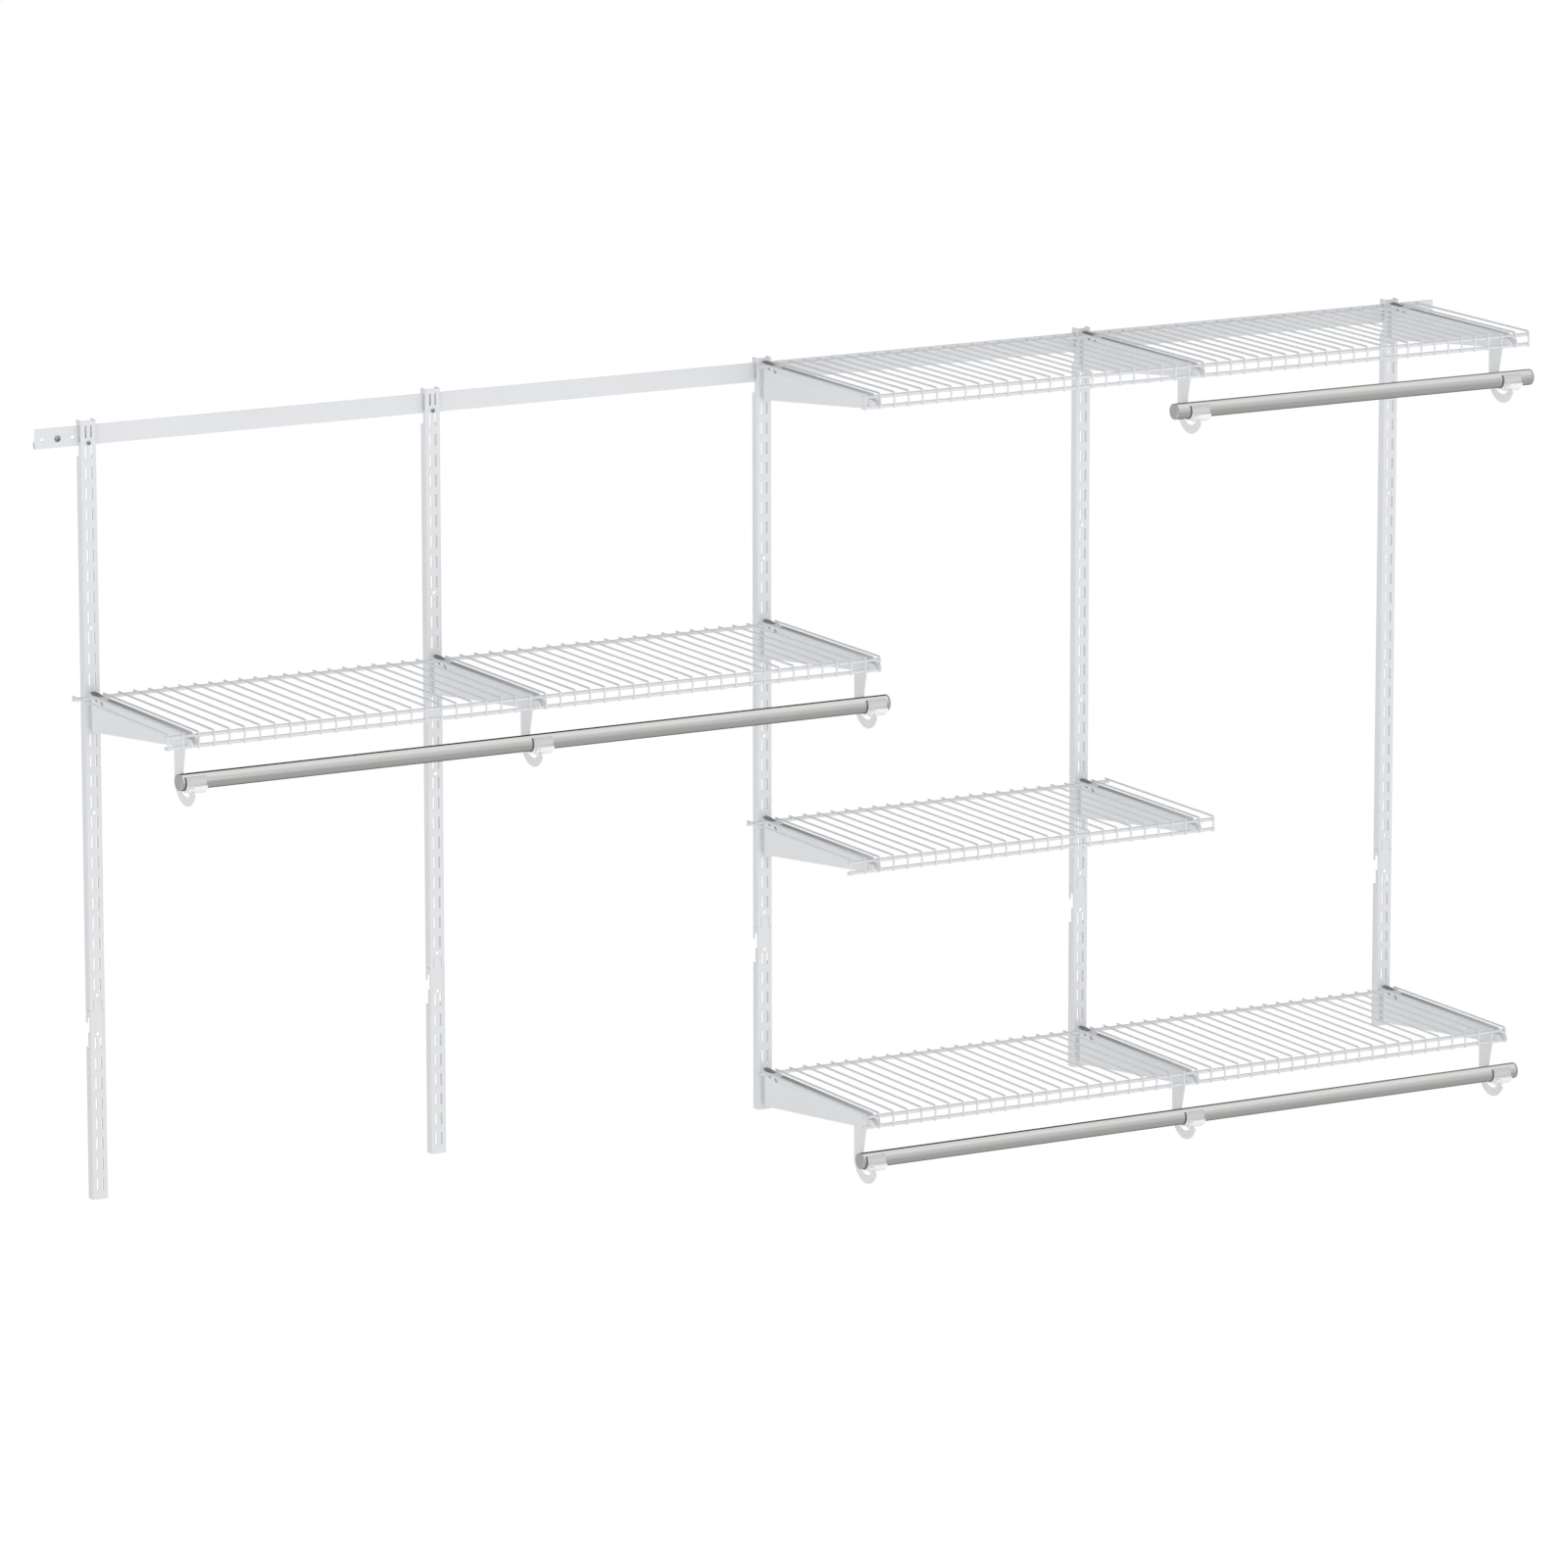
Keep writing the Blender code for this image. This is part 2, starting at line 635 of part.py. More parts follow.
def bridge_mesh():
    """Bridge between a bracket's plates: a flat top, and a flap down its front."""
    half = (BRACKET_WIDTH - BRACKET_SHEET) / 2
    top = -BRIDGE_RECESS
    under = top - BRACKET_SHEET
    flap_rear = BRIDGE_END - BRACKET_SHEET
    profile = [
        (-BRIDGE_START, top),
        (-BRIDGE_START, under),
        (-flap_rear, under),
        (-flap_rear, top - BRIDGE_FLAP),
        (-BRIDGE_END, top - BRIDGE_FLAP),
        (-BRIDGE_END, top),
    ]
    return prism("bridge", profile, -half, half, along_x())


def bracket_mesh(hooked, cutters):
    """Shelf bracket: left plate, right plate and the bridge between them."""
    kind = "hook_bracket" if hooked else "plain_bracket"
    left = plate_mesh(f"{kind}_left", -1, hooked, cutters)
    right = plate_mesh(f"{kind}_right", 1, False, cutters)
    return combine(kind, left, "UNION", [right, bridge_mesh()], cutters)


def saddle_mesh():
    """Plastic saddle: a trough with a flange in the hook and a collar behind it."""
    plate_outer = -BRACKET_WIDTH / 2
    collar = plate_outer + BRACKET_SHEET + FIT
    profile = [
        (plate_outer, SADDLE_INNER),
        (plate_outer + SADDLE_LENGTH, SADDLE_INNER),
        (plate_outer + SADDLE_LENGTH, SADDLE_OUTER),
        (collar + COLLAR_THICKNESS, SADDLE_OUTER),
        (collar + COLLAR_THICKNESS, FLANGE_RADIUS + COLLAR_RISE),
        (collar, FLANGE_RADIUS + COLLAR_RISE),
        (collar, FLANGE_RADIUS),
        (plate_outer, FLANGE_RADIUS),
    ]
    start = SADDLE_LIP_ANGLE
    tool = bmesh.new()
    verts = [
        tool.verts.new((x, -math.cos(start) * radius, -math.sin(start) * radius))
        for x, radius in profile
    ]
    face = tool.faces.new(verts)
    bmesh.ops.spin(
        tool, geom=[face] + verts + list(face.edges), cent=(0, 0, 0), axis=(1, 0, 0),
        dvec=(0, 0, 0), angle=math.pi - 2 * start, steps=SADDLE_STEPS, use_duplicate=False,
    )
    mesh = finish_mesh(tool, "saddle")
    shade_round(mesh)
    return mesh


def hang_rod_mesh(level, length):
    """Round tube of a hang rod, from x = 0 to its length."""
    inner = HANG_RADIUS - HANG_WALL
    end = length - CAP_FLANGE - FIT
    start = CAP_FLANGE + FIT
    profile = [(start, HANG_RADIUS), (end, HANG_RADIUS), (end, inner), (start, inner)]
    mesh = turned(f"{level}_rod", profile, HANG_SIDES, closed=True)
    shade_round(mesh)
    return mesh


def cap_mesh():
    """End cap: a round flange at x = 0 and a plug that goes into the tube."""
    plug = HANG_RADIUS - HANG_WALL - FIT
    profile = [
        (0, 0),
        (0, HANG_RADIUS - CAP_ROUND),
        (CAP_FLANGE - CAP_ROUND, HANG_RADIUS),
        (CAP_FLANGE, plug),
        (CAP_FLANGE + CAP_PLUG, plug),
        (CAP_FLANGE + CAP_PLUG, 0),
    ]
    mesh = turned("rod_cap", profile, HANG_SIDES)
    shade_round(mesh)
    return mesh


def build_wall_frame(group, cutters, coat, zinc):
    """Rail, uprights, extensions and their screws."""
    place("hang_rail", rail_mesh(cutters), coat, group)
    upright = upright_mesh(cutters)
    extension = extension_mesh(cutters)
    lock_screw = screw_mesh(
        "upright_screw", UPRIGHT_SCREW_HEAD_RADIUS, UPRIGHT_SCREW_HEAD_HEIGHT,
        UPRIGHT_SCREW_SHANK_RADIUS, UPRIGHT_DEPTH - RAIL_DEPTH - FIT,
    )
    wall_screw = screw_mesh(
        "wall_screw", RAIL_SCREW_HEAD_RADIUS, RAIL_SCREW_HEAD_HEIGHT,
        RAIL_SCREW_SHANK_RADIUS, RAIL_DEPTH,
    )
    for index in range(UPRIGHT_COUNT):
        x = upright_x(index)
        number = index + 1
        place(f"upright_{number}", upright, coat, group, (x, 0, 0))
        place(f"extension_{number}", extension, coat, group, (x, 0, 0))
        spot = (x, -UPRIGHT_DEPTH - FIT, SLOT_1 + HOLE_RISE)
        place(f"upright_screw_{number}", lock_screw, zinc, group, spot)
    for name, side in (("left", -1), ("right", 1)):
        x, z = rail_hole(side, 1)
        place(f"wall_screw_{name}", wall_screw, zinc, group, (x, -RAIL_DEPTH - FIT, z))


def build_hang_rod(level, group, carrier, rod, cap, nickel, grey):
    """One hang rod with its two end caps, on its own empty."""
    first, uprights = SHELVES[level][:2]
    hooks = SHELVES[level][6]
    before, after = ROD_OVERHANGS[level]
    start = upright_x(first + uprights - hooks) - before
    end = upright_x(first + uprights - 1) + after
    z = bracket_top(level) - HANG_DROP
    spot = (start, -HANG_DEPTH, z)
    empty = place_empty(f"{level}_rod_axis", spot, group, carrier)
    place(f"{level}_rod", rod(level, end - start), nickel, group, spot, empty)
    place(f"{level}_rod_cap_left", cap, grey, group, spot, empty)
    right = place(f"{level}_rod_cap_right", cap, grey, group, (end, -HANG_DEPTH, z), empty)
    right.rotation_euler = (0, math.pi, 0)


def build_shelf_level(level, group, meshes, looks):
    """One shelf with its brackets, its saddles and its hang rod."""
    first, uprights, column, slot, before, count, hooks = SHELVES[level]
    coat, plastic, nickel, grey = looks
    z = bracket_top(level)
    middle = upright_x(first + (uprights - 1) / 2)
    carrier = place_empty(f"{level}_shelf_lift", (middle, -BRACKET_REAR, z), group)
    x = upright_x(first) - (before - 1 / 2) * CROSS_PITCH
    place(f"{level}_shelf", meshes[count], coat, group, (x, 0, z), carrier)
    for index in range(uprights):
        number = index + 1
        hooked = index >= uprights - hooks
        spot = (upright_x(first + index), 0, z)
        bracket = meshes["hooked" if hooked else "plain"]
        place(f"{level}_bracket_{number}", bracket, coat, group, spot, carrier)
        if hooked:
            seat = (spot[0], -HANG_DEPTH, z - HANG_DROP)
            place(f"{level}_saddle_{number}", meshes["saddle"], plastic, group, seat, carrier)
    if hooks:
        build_hang_rod(level, group, carrier, hang_rod_mesh, meshes["cap"], nickel, grey)


def main():
    """Build the whole closet system."""
    clear_scene()
    group = new_collection("wall_mounted_closet_system")
    cutters = new_collection("cutters")
    coat = new_material("white_coat", WHITE_COAT)
    zinc = new_material("zinc", ZINC)
    looks = (
        coat,
        new_material("white_plastic", WHITE_PLASTIC),
        new_material("satin_nickel", SATIN_NICKEL),
        new_material("grey_plastic", GREY_PLASTIC),
    )
    build_wall_frame(group, cutters, coat, zinc)
    meshes = {
        "plain": bracket_mesh(False, cutters),
        "hooked": bracket_mesh(True, cutters),
        "saddle": saddle_mesh(),
        "cap": cap_mesh(),
    }
    for count in sorted({shelf[5] for shelf in SHELVES.values()}):
        meshes[count] = shelf_mesh(count, cutters)
    for level in SHELVES:
        build_shelf_level(level, group, meshes, looks)
    bpy.context.view_layer.update()


if __name__ == "__main__":
    main()
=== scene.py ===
"""Wall mounted closet system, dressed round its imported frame.

The frame: +X right along the wall, +Y into the wall, +Z up, in metres, with the
wall at y = 0. A depth is a distance in front of the wall, so a depth d lies at
y = -d. Sizes come from the frame's boxes and from the property groups below.
"""

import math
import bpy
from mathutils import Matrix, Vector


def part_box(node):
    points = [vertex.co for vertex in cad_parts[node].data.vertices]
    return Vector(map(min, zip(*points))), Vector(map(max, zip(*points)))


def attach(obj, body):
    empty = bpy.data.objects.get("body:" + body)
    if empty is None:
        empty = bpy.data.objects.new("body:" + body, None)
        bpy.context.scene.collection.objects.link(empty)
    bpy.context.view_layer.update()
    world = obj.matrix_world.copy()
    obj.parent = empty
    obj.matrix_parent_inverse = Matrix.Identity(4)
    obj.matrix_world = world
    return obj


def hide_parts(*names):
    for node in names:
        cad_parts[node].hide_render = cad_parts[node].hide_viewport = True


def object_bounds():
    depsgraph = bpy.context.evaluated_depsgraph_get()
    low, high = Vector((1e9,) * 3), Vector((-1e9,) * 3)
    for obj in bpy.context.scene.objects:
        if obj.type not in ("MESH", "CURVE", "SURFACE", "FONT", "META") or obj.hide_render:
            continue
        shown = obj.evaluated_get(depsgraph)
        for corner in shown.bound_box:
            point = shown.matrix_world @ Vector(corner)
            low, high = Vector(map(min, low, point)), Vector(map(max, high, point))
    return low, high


bl_info = {
    "name": "Wall mounted closet system",
    "version": (1, 0, 0),
    "blender": (4, 5, 0),
    "location": "View3D > Sidebar > Closet",
    "description": "Dresses a wall mounted closet system: rail, uprights, wire shelves, hang rods",
    "category": "Object",
}

import bmesh
import bpy
from bpy.props import FloatProperty, FloatVectorProperty, IntProperty, PointerProperty
from mathutils import Matrix, Vector

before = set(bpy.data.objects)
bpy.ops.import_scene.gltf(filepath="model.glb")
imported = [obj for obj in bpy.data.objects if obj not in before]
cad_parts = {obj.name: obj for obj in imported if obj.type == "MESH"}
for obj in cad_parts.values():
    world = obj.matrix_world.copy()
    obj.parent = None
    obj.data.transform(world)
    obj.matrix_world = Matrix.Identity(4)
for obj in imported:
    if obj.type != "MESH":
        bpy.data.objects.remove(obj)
CAD_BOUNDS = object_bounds()
LEVELS = ("left", "top", "middle", "bottom")
UPRIGHTS = range(1, 6)
RAIL_HOLES = 3
# Round holes of an upright, and the slots from one to the next.
HOLES, HOLE_SLOTS = 4, 9
# Slots of an extension, and how many of them lie above its bracket's upper one.
EXTENSION_SLOTS, SLOTS_ABOVE = 8, 6
# Room between fitted pieces, round a hang rod, and beside a plate in its slot.
FIT, BORE_PLAY, SLOT_PLAY = 0.0003, 0.0005, 0.0001
# How far a cutter runs past what it cuts.
OVERRUN = 0.002
# Points this near are one, and joined bodies lap by twice as much.
MERGE = 0.000001
LAP = MERGE * 2
SHARP_ANGLE = math.radians(35)
STRAIGHT_ANGLE = math.radians(89)
FLAT = Matrix()
# Stands an outline up: its x becomes +Y, its y +Z, its thickness +X.
ALONG_X = Matrix(((0, 0, 1, 0), (1, 0, 0, 0), (0, 1, 0, 0), (0, 0, 0, 1)))
# Stands an outline up: its x stays +X, its y becomes +Z, its thickness -Y.
ALONG_Y = Matrix(((1, 0, 0, 0), (0, 0, -1, 0), (0, 1, 0, 0), (0, 0, 0, 1)))
# Rounding of a slot's corners, as a share of its width.
SLOT_ROUND_SHARE = 0.4
# Inner radius of a tight fold and edge of a tube, as shares of the sheet.
TIGHT_SHARE = 0.25
# A screw's head height and shank radius as shares of its head's radius.
UPRIGHT_SCREW_SHARES = (0.66, 0.575)
WALL_SCREW_SHARES = (0.536, 0.43)
# The crown's drop and the recess in shares of the head's radius, the point of the shank's.
CROWN_SHARE, RECESS_SHARE, SLIT_SHARE, POINT_SHARE = 0.65, 1.1, 0.24, 0.6
# Depth of the recess, as a share of the head's height.
RECESS_DEPTH_SHARE = 0.75
# Where an end cap's face is dished, and where its rim starts, in shares of its radius.
CAP_DISH_SHARE, CAP_RIM_SHARE = 0.7, 0.78
# Depths and drops of the clinch marks, and their stretch along each axis.
CLINCH_PLACES = ((0.0430, 0.0062), (0.0612, 0.0066), (0.0634, 0.0089))
CLINCH_SHARES = (1, 1.8, 0.8, 1)
# Brightness of the painted shade, and how much of it is painted between the plates, in the clinch pits and
# where the plates pass into the slots.
PAINTED_SHADE_SHARE = 0.4
INNER_SHADE_SHARE, PIT_SHADE_SHARE, REAR_SHADE_SHARE = 0.5, 0.8, 0.33
# How much light metal throws back at a glancing angle.
EDGE_SHARE = 0.45
# Height of the fine relief on a coat and on plated metal.
COAT_RELIEF, METAL_RELIEF = 0.0002, 0.0001
# How much a face looks sideways to count as a plate's side.
SIDEWAYS = 0.5
WHITE = (1, 1, 1, 1)
SKY_COLOUR = (0.98, 0.99, 1, 1)


def length(name, description, default):
    """Declare a size that a user can change, in metres."""
    return FloatProperty(name=name, description=description, default=default, unit="LENGTH", precision=4)


def angle(name, description, degrees):
    """Declare an angle that a user can change."""
    return FloatProperty(name=name, description=description, default=math.radians(degrees), subtype="ANGLE")


def scalar(name, description, default):
    """Declare a share or a strength that a user can change."""
    return FloatProperty(name=name, description=description, default=default, precision=4)


def position(name, description, default):
    """Declare a place that a user can change, in metres."""
    return FloatVectorProperty(name=name, description=description, default=default, unit="LENGTH")


def colour(name, description, default):
    """Declare a colour that a user can change."""
    return FloatVectorProperty(
        name=name, description=description, default=default, subtype="COLOR", min=0, max=1,
    )


class ColumnSizes(bpy.types.PropertyGroup):
    """Sizes of the rail, the uprights and their extensions"""

    sheet: length("Sheet", "Thickness of the rail's and the uprights' sheet steel", 0.0015)
    bend: length("Bend radius", "Outer radius of the folded corners", 0.0016)
    edge: length("Edge radius", "Softening of the cut edges under the coat", 0.0002)
    slot_pitch: length("Slot pitch", "Distance from one slot to the next", 0.03175)
    slot_length: length("Slot length", "Length of a bracket slot", 0.019)
    slot_width: length("Slot width", "Width of a bracket slot", 0.0032)
    slot_offset: length("Slot offset", "From the upright's centre line to a column of slots", 0.0044)
    first_slot: length("First slot", "From an upright's top end to its first slot's top", 0.00725)
    foot: length("Foot", "Least length left below an upright's last slot", 0.030)
    hole_width: length("Hole width", "Diameter of the round screw holes", 0.006)
    hole_rise: length("Hole rise", "From the second slot's centre up to the screw hole", 0.0145)
    tongue_width: length("Tongue width", "Width of the tongue on an extension", 0.013)
    tongue_height: length("Tongue height", "Height of the tongue on an extension", 0.016)
    joint_gap: length("Joint gap", "Gap seen round the joint of an upright and its extension", 0.0008)
    seat_round: length("Seat rounding", "Rounding of the seat for the tongue", 0.001)
    cut_round: length("Cut rounding", "Rounding of the tongue's and the rail notches' corners", 0.0008)
    notch_depth_share: scalar("Notch depth", "Depth of a rail notch, for the rail's depth", 1.843)
    tab_depth_share: scalar("Hook tab depth", "Depth of a notch's hook tab, for the rail's depth", 0.543)
    tab_height_share: scalar("Hook tab height", "Height of the hook tab, for the rail's height", 0.311)
    deep_end_share: scalar("Deep end", "Deep end of a notch above the second slot, for its length", 0.842)
    notch_foot_share: scalar("Notch foot", "Foot of a notch below the second slot, for its length", 0.395)
    rail_bend: length("Rail bend", "Outer radius of the rail's folds", 0.0008)
    rail_leg: length("Rail leg", "Height of the rail's back leg", 0.010)
    rail_hole_width: length("Rail hole width", "Diameter of the rail's end holes", 0.0063)
    rail_hole_inset: length("Rail hole inset", "From the rail's end to its first hole", 0.0121)
    rail_hole_rise: length("Rail hole rise", "From the rail's bottom edge to its holes", 0.0134)


class ShelfSizes(bpy.types.PropertyGroup):
    """Sizes of the wire shelves"""

    pitch: length("Wire pitch", "Distance from one cross wire to the next", 0.0254)
    wire: length("Wire", "Diameter of a cross wire", 0.0031)
    rod: length("Rod", "Diameter of a long rod", 0.0056)
    bend: length("Bend", "Radius of the cross wires' bend at the lip", 0.0045)
    rise: length("Wire rise", "Centre of the cross wires above the brackets' top", 0.0007)
    reach: length("Rod reach", "How far the long rods run past the outer cross wires", 0.0034)
    lip_depth: length("Lip depth", "Centre of the lip's wires in front of the wall", 0.3593)
    back_rod: length("Back rod", "Centre of the back rod in front of the wall", 0.033)
    front_rod_drop: length("Front rod drop", "Centre of the upper front rod below the brackets' top", 0.0047)
    lip_rod_rise: length("Lip rod rise", "From the lip's lower end up to the lip rod", 0.0035)
    weld: length("Weld", "Depth to which welded wires sink into each other", 0.0004)


class BracketSizes(bpy.types.PropertyGroup):
    """Sizes of the shelf brackets and their rod hooks"""

    sheet: length("Sheet", "Thickness of a bracket's sheet steel", 0.0015)
    edge: length("Edge radius", "Softening of the cut edges under the coat", 0.0002)
    rear: length("Rear height", "Height of a bracket at its rear", 0.0576)
    slope: scalar("Slope", "Rise of a bracket's bottom edge for its depth", 0.1065)
    rear_cut: length("Rear cut", "Height of the cut at the lower rear corner", 0.003)
    corner_drop: length("Corner drop", "Height of the cut at the upper rear corner", 0.004)
    corner_depth: length("Corner depth", "Depth at which the upper rear corner's cut ends", 0.022)
    # Painted shade on the plates' inner faces ends at this depth.
    painted_shade_reach: length("Open reach", "Depth to which the inner faces are thinly coated", 0.335)
    joggle_start: length("Joggle start", "Where a plate reaches its slots' width", 0.0185)
    joggle_end: length("Joggle end", "Where a plate reaches its full width", 0.0265)
    bridge_start: length("Bridge start", "Rear end of the bridge between the plates", 0.0450)
    bridge_end: length("Bridge end", "Front end of the bridge between the plates", 0.0640)
    bridge_recess: length("Bridge recess", "Top of the bridge below the plates' top", 0.0003)
    bridge_flap: length("Bridge flap", "Height of the flap folded down in front", 0.006)
    bridge_bend: length("Bridge bend", "Outer radius of the flap's fold", 0.002)
    nose: length("Nose", "How far the nose stands out past the lip", 0.0167)
    nose_rise: length("Nose rise", "Top of the nose above the front notch's floor", 0.0009)
    nose_round: length("Nose round", "Radius of the nose's upper corner", 0.008)
    notch_angle: angle("Notch angle", "How far the front notch follows its rod round", 130)
    hook_throat: length("Hook throat", "Gap between the rod and the hook's stem", 0.0027)
    hook_width: length("Hook width", "Width of the hook outside its saddle", 0.0134)
    clinch: length("Clinch", "Diameter of a clinch mark", 0.0048)
    clinch_depth: length("Clinch depth", "Depth of a clinch mark", 0.0008)
    tab_width: length("Tab width", "Thickness of a tab behind its slot", 0.0034)
    tab_drop: length("Tab drop", "How far a tab hooks down behind its slot", 0.005)
    tab_play: length("Tab play", "Room above a tab in its slot", 0.0065)
    throat_angle: angle("Throat angle", "How far the throat follows the rod upwards", 54)
    lip_play: angle("Lip play", "Start of the hook's seat above the saddle's lip", 2)
    tip_angle: angle("Tip angle", "Height of the hook's tip below the rod's centre", 28)
    tip_round: angle("Tip rounding", "How far the middle of the hook's tip stands out", 5)


class LockSizes(bpy.types.PropertyGroup):
    """Sizes of the lock clips between the brackets' plates, over the back rod"""

    rear: length("Rear", "Rear end of a lock clip in front of the wall", 0.018)
    front: length("Front", "Front end of a lock clip in front of the wall", 0.0410)
    rear_rise: length("Rear rise", "Top of a lock clip at its rear above the plates", 0.0030)
    front_rise: length("Front rise", "Top of a lock clip at its front above the plates", 0.0012)
    drop: length("Drop", "Underside of a lock clip below the plates' top", 0.008)
    width: length("Width", "Width of a lock clip in front", 0.0094)
    rear_width: length("Rear width", "Width of a lock clip at its rear", 0.0054)
    nose: length("Nose", "Radius of the clip's upper front corner", 0.0015)
    edge: length("Edge", "Rounding of the clip's moulded edges", 0.0006)


class RodSizes(bpy.types.PropertyGroup):
    """Sizes of the hang rods, their end caps and their saddles"""

    wall: length("Tube wall", "Wall of the hang rod's tube", 0.001)
    cap: length("Cap", "Length of an end cap outside the tube", 0.003)
    cap_round: length("Cap round", "Radius of an end cap's edge", 0.0014)
    cap_dish: length("Cap dish", "Depth of the dish in an end cap's face", 0.0004)
    saddle_wall: length("Saddle wall", "Wall of a saddle's trough", 0.0057)
    ear_rise: length("Ear rise", "Rise of a saddle's ears over its bore", 0.010)
    rod_shift: length("Rod shift", "How far the hang rods lie to the left of their solids", 0.0016)
    saddle_shift: length("Saddle shift", "How far a saddle stands out of its hook", 0.0026)
    hub_length: length("Hub length", "Length of a saddle's thin end in the hook", 0.0080)
    ear_angle: angle("Ear angle", "Reach of a saddle's ears in the hook's seat", 30)
    # Painted shadow: a dark ring at each saddle's left end, drawn where the gap between rod and saddle lies
    # in shade.
    seam: length("Seam", "Height of the dark seal at a saddle's left end", 0.0005)
    seam_width: length("Seam width", "Width of the dark seal at a saddle's left end", 0.0026)
    hub: length("Hub", "How far a saddle's hub stands out of its ears", 0.0008)
    hub_wall: length("Hub wall", "Wall of a saddle's hub", 0.0026)
    saddle_edge: length("Saddle edge", "Rounding of a saddle's moulded edges", 0.0004)
    clip_wall: length("Clip wall", "Thickness of a saddle's thin front wall", 0.0006)
    clip_rim: length("Clip rim", "Height of the rims at the ends of the front wall", 0.0004)
    clip_rim_width: length("Clip rim width", "Width of the rims of the front wall", 0.0014)
    clip_edge: length("Clip edge", "Rounding of the front wall's edges", 0.0001)
    lip_angle: angle("Lip angle", "Height of a saddle's lips below the rod's centre", 17)
    clip_angle: angle("Clip angle", "Height of the front wall's edge above the rod's centre", 42)
    sides: IntProperty(name="Sides", description="Faces round a hang rod", default=64, min=16)


class Finishes(bpy.types.PropertyGroup):
    """Colours of the finishes"""

    # coat and plate are one white powder coat in a shaded and a lit copy: plate on the brackets is drawn
    # lighter than coat on the rail, uprights and shelves, as painted shade for the wall's shade on the
    # uprights.
    coat: colour("Powder coat", "White powder coat on steel", (0.80, 0.81, 0.825))
    plate: colour("Plate coat", "White powder coat on the brackets", (0.845, 0.855, 0.87))
    plastic: colour("White plastic", "Moulded white saddles", (0.93, 0.93, 0.93))
    clip: colour("Thin plastic", "Thin front walls of the saddles", (0.66, 0.66, 0.66))
    nickel: colour("Satin nickel", "Plating on the hang rods", (0.74, 0.735, 0.72))
    cap: colour("End cap", "Moulded grey end caps", (0.43, 0.43, 0.435))
    lock: colour("Lock clip", "Moulded dark grey lock clips", (0.24, 0.24, 0.245))
    # Painted shadow: colour of the dark ring at each saddle's left end, for the shade in the gap round the
    # rod.
    seam: colour("Seal", "Dark seal at a saddle's left end", (0.07, 0.07, 0.07))
    zinc: colour("Zinc", "Plating on the screws", (0.42, 0.42, 0.43))


class StageLook(bpy.types.PropertyGroup):
    """Camera, floor and light"""

    camera_place: position("Camera place", "Where the camera stands", (-7.2442, -13.0210, 2.5111))
    camera_yaw: angle("Camera yaw", "How far the camera looks right of the wall's normal", 29.2486)
    camera_pitch: angle("Camera pitch", "How far the camera looks down", 11.9866)
    camera_roll: angle("Camera roll", "How far the camera tips sideways", 0.0585)
    lens: scalar("Lens", "Focal length in millimetres", 220.8)
    floor_drop: length("Floor drop", "From the object's lowest point down to the floor", 0.9)
    floor_radius: length("Floor radius", "Radius of the floor", 5.0)
    floor_glow: scalar("Floor glow", "Light that comes up off the floor", 0.86)
    sky: scalar("Sky", "Strength of the light all round", 1.12)
    zenith_share: scalar("Zenith", "Share of the light left overhead", 0.25)
    key: scalar("Key", "Power of the front light in watts", 60)
    key_width: length("Key width", "Width of the front light", 4)
    key_height: length("Key height", "Height of the front light", 3)
    key_place: position("Key place", "Where the front light stands", (-0.5, -7, 0.5))
    key_aim: position("Key aim", "Where the front light points", (0, 0, -0.6))


def add_node(tree, kind, inputs=None, **settings):
    """Add a node, set its options, and link or set its inputs."""
    node = tree.nodes.new(kind)
    for name, value in settings.items():
        setattr(node, name, value)
    for key, value in (inputs or {}).items():
        if isinstance(value, bpy.types.NodeSocket):
            tree.links.new(value, node.inputs[key])
        else:
            node.inputs[key].default_value = value
    return node


def mixed(tree, factor, first, second, blend="MIX"):
    """Mix two colours."""
    inputs = {0: factor, 6: first, 7: second}
    return add_node(tree, "ShaderNodeMix", inputs, data_type="RGBA", blend_type=blend).outputs[2]


def chosen(tree, factor, first, second):
    """Mix two shaders."""
    return add_node(tree, "ShaderNodeMixShader", {0: factor, 1: first, 2: second}).outputs[0]


def ranged(tree, value, low, high, start=0, end=1, **settings):
    """Map a value that runs from start to end to one from low to high."""
    inputs = {"Value": value, "From Min": start, "From Max": end, "To Min": low, "To Max": high}
    return add_node(tree, "ShaderNodeMapRange", inputs, **settings).outputs[0]


def noise(tree, place, scale, detail):
    """Add a noise."""
    inputs = {"Vector": place, "Scale": scale, "Detail": detail}
    return add_node(tree, "ShaderNodeTexNoise", inputs).outputs["Fac"]


def new_tree(material):
    """Give a material nodes, and return their tree and the place on the object."""
    material.use_nodes = True
    tree = material.node_tree
    return tree, add_node(tree, "ShaderNodeTexCoord").outputs["Object"]


def tint(base, factor):
    """Return a colour made lighter or darker."""
    return tuple(min(1, channel * factor) for channel in base) + (1,)


def surface(tree, base, grain, roughness, play, relief, distance):
    """Set the shader's colour, and its uneven gloss and fine relief from one noise."""
    inputs = tree.nodes["Principled BSDF"].inputs
    tree.links.new(base, inputs["Base Color"])
    tree.links.new(ranged(tree, grain, roughness - play, roughness + play), inputs["Roughness"])
    bump = add_node(tree, "ShaderNodeBump", {"Height": grain, "Strength": relief, "Distance": distance})
    tree.links.new(bump.outputs["Normal"], inputs["Normal"])
    return inputs


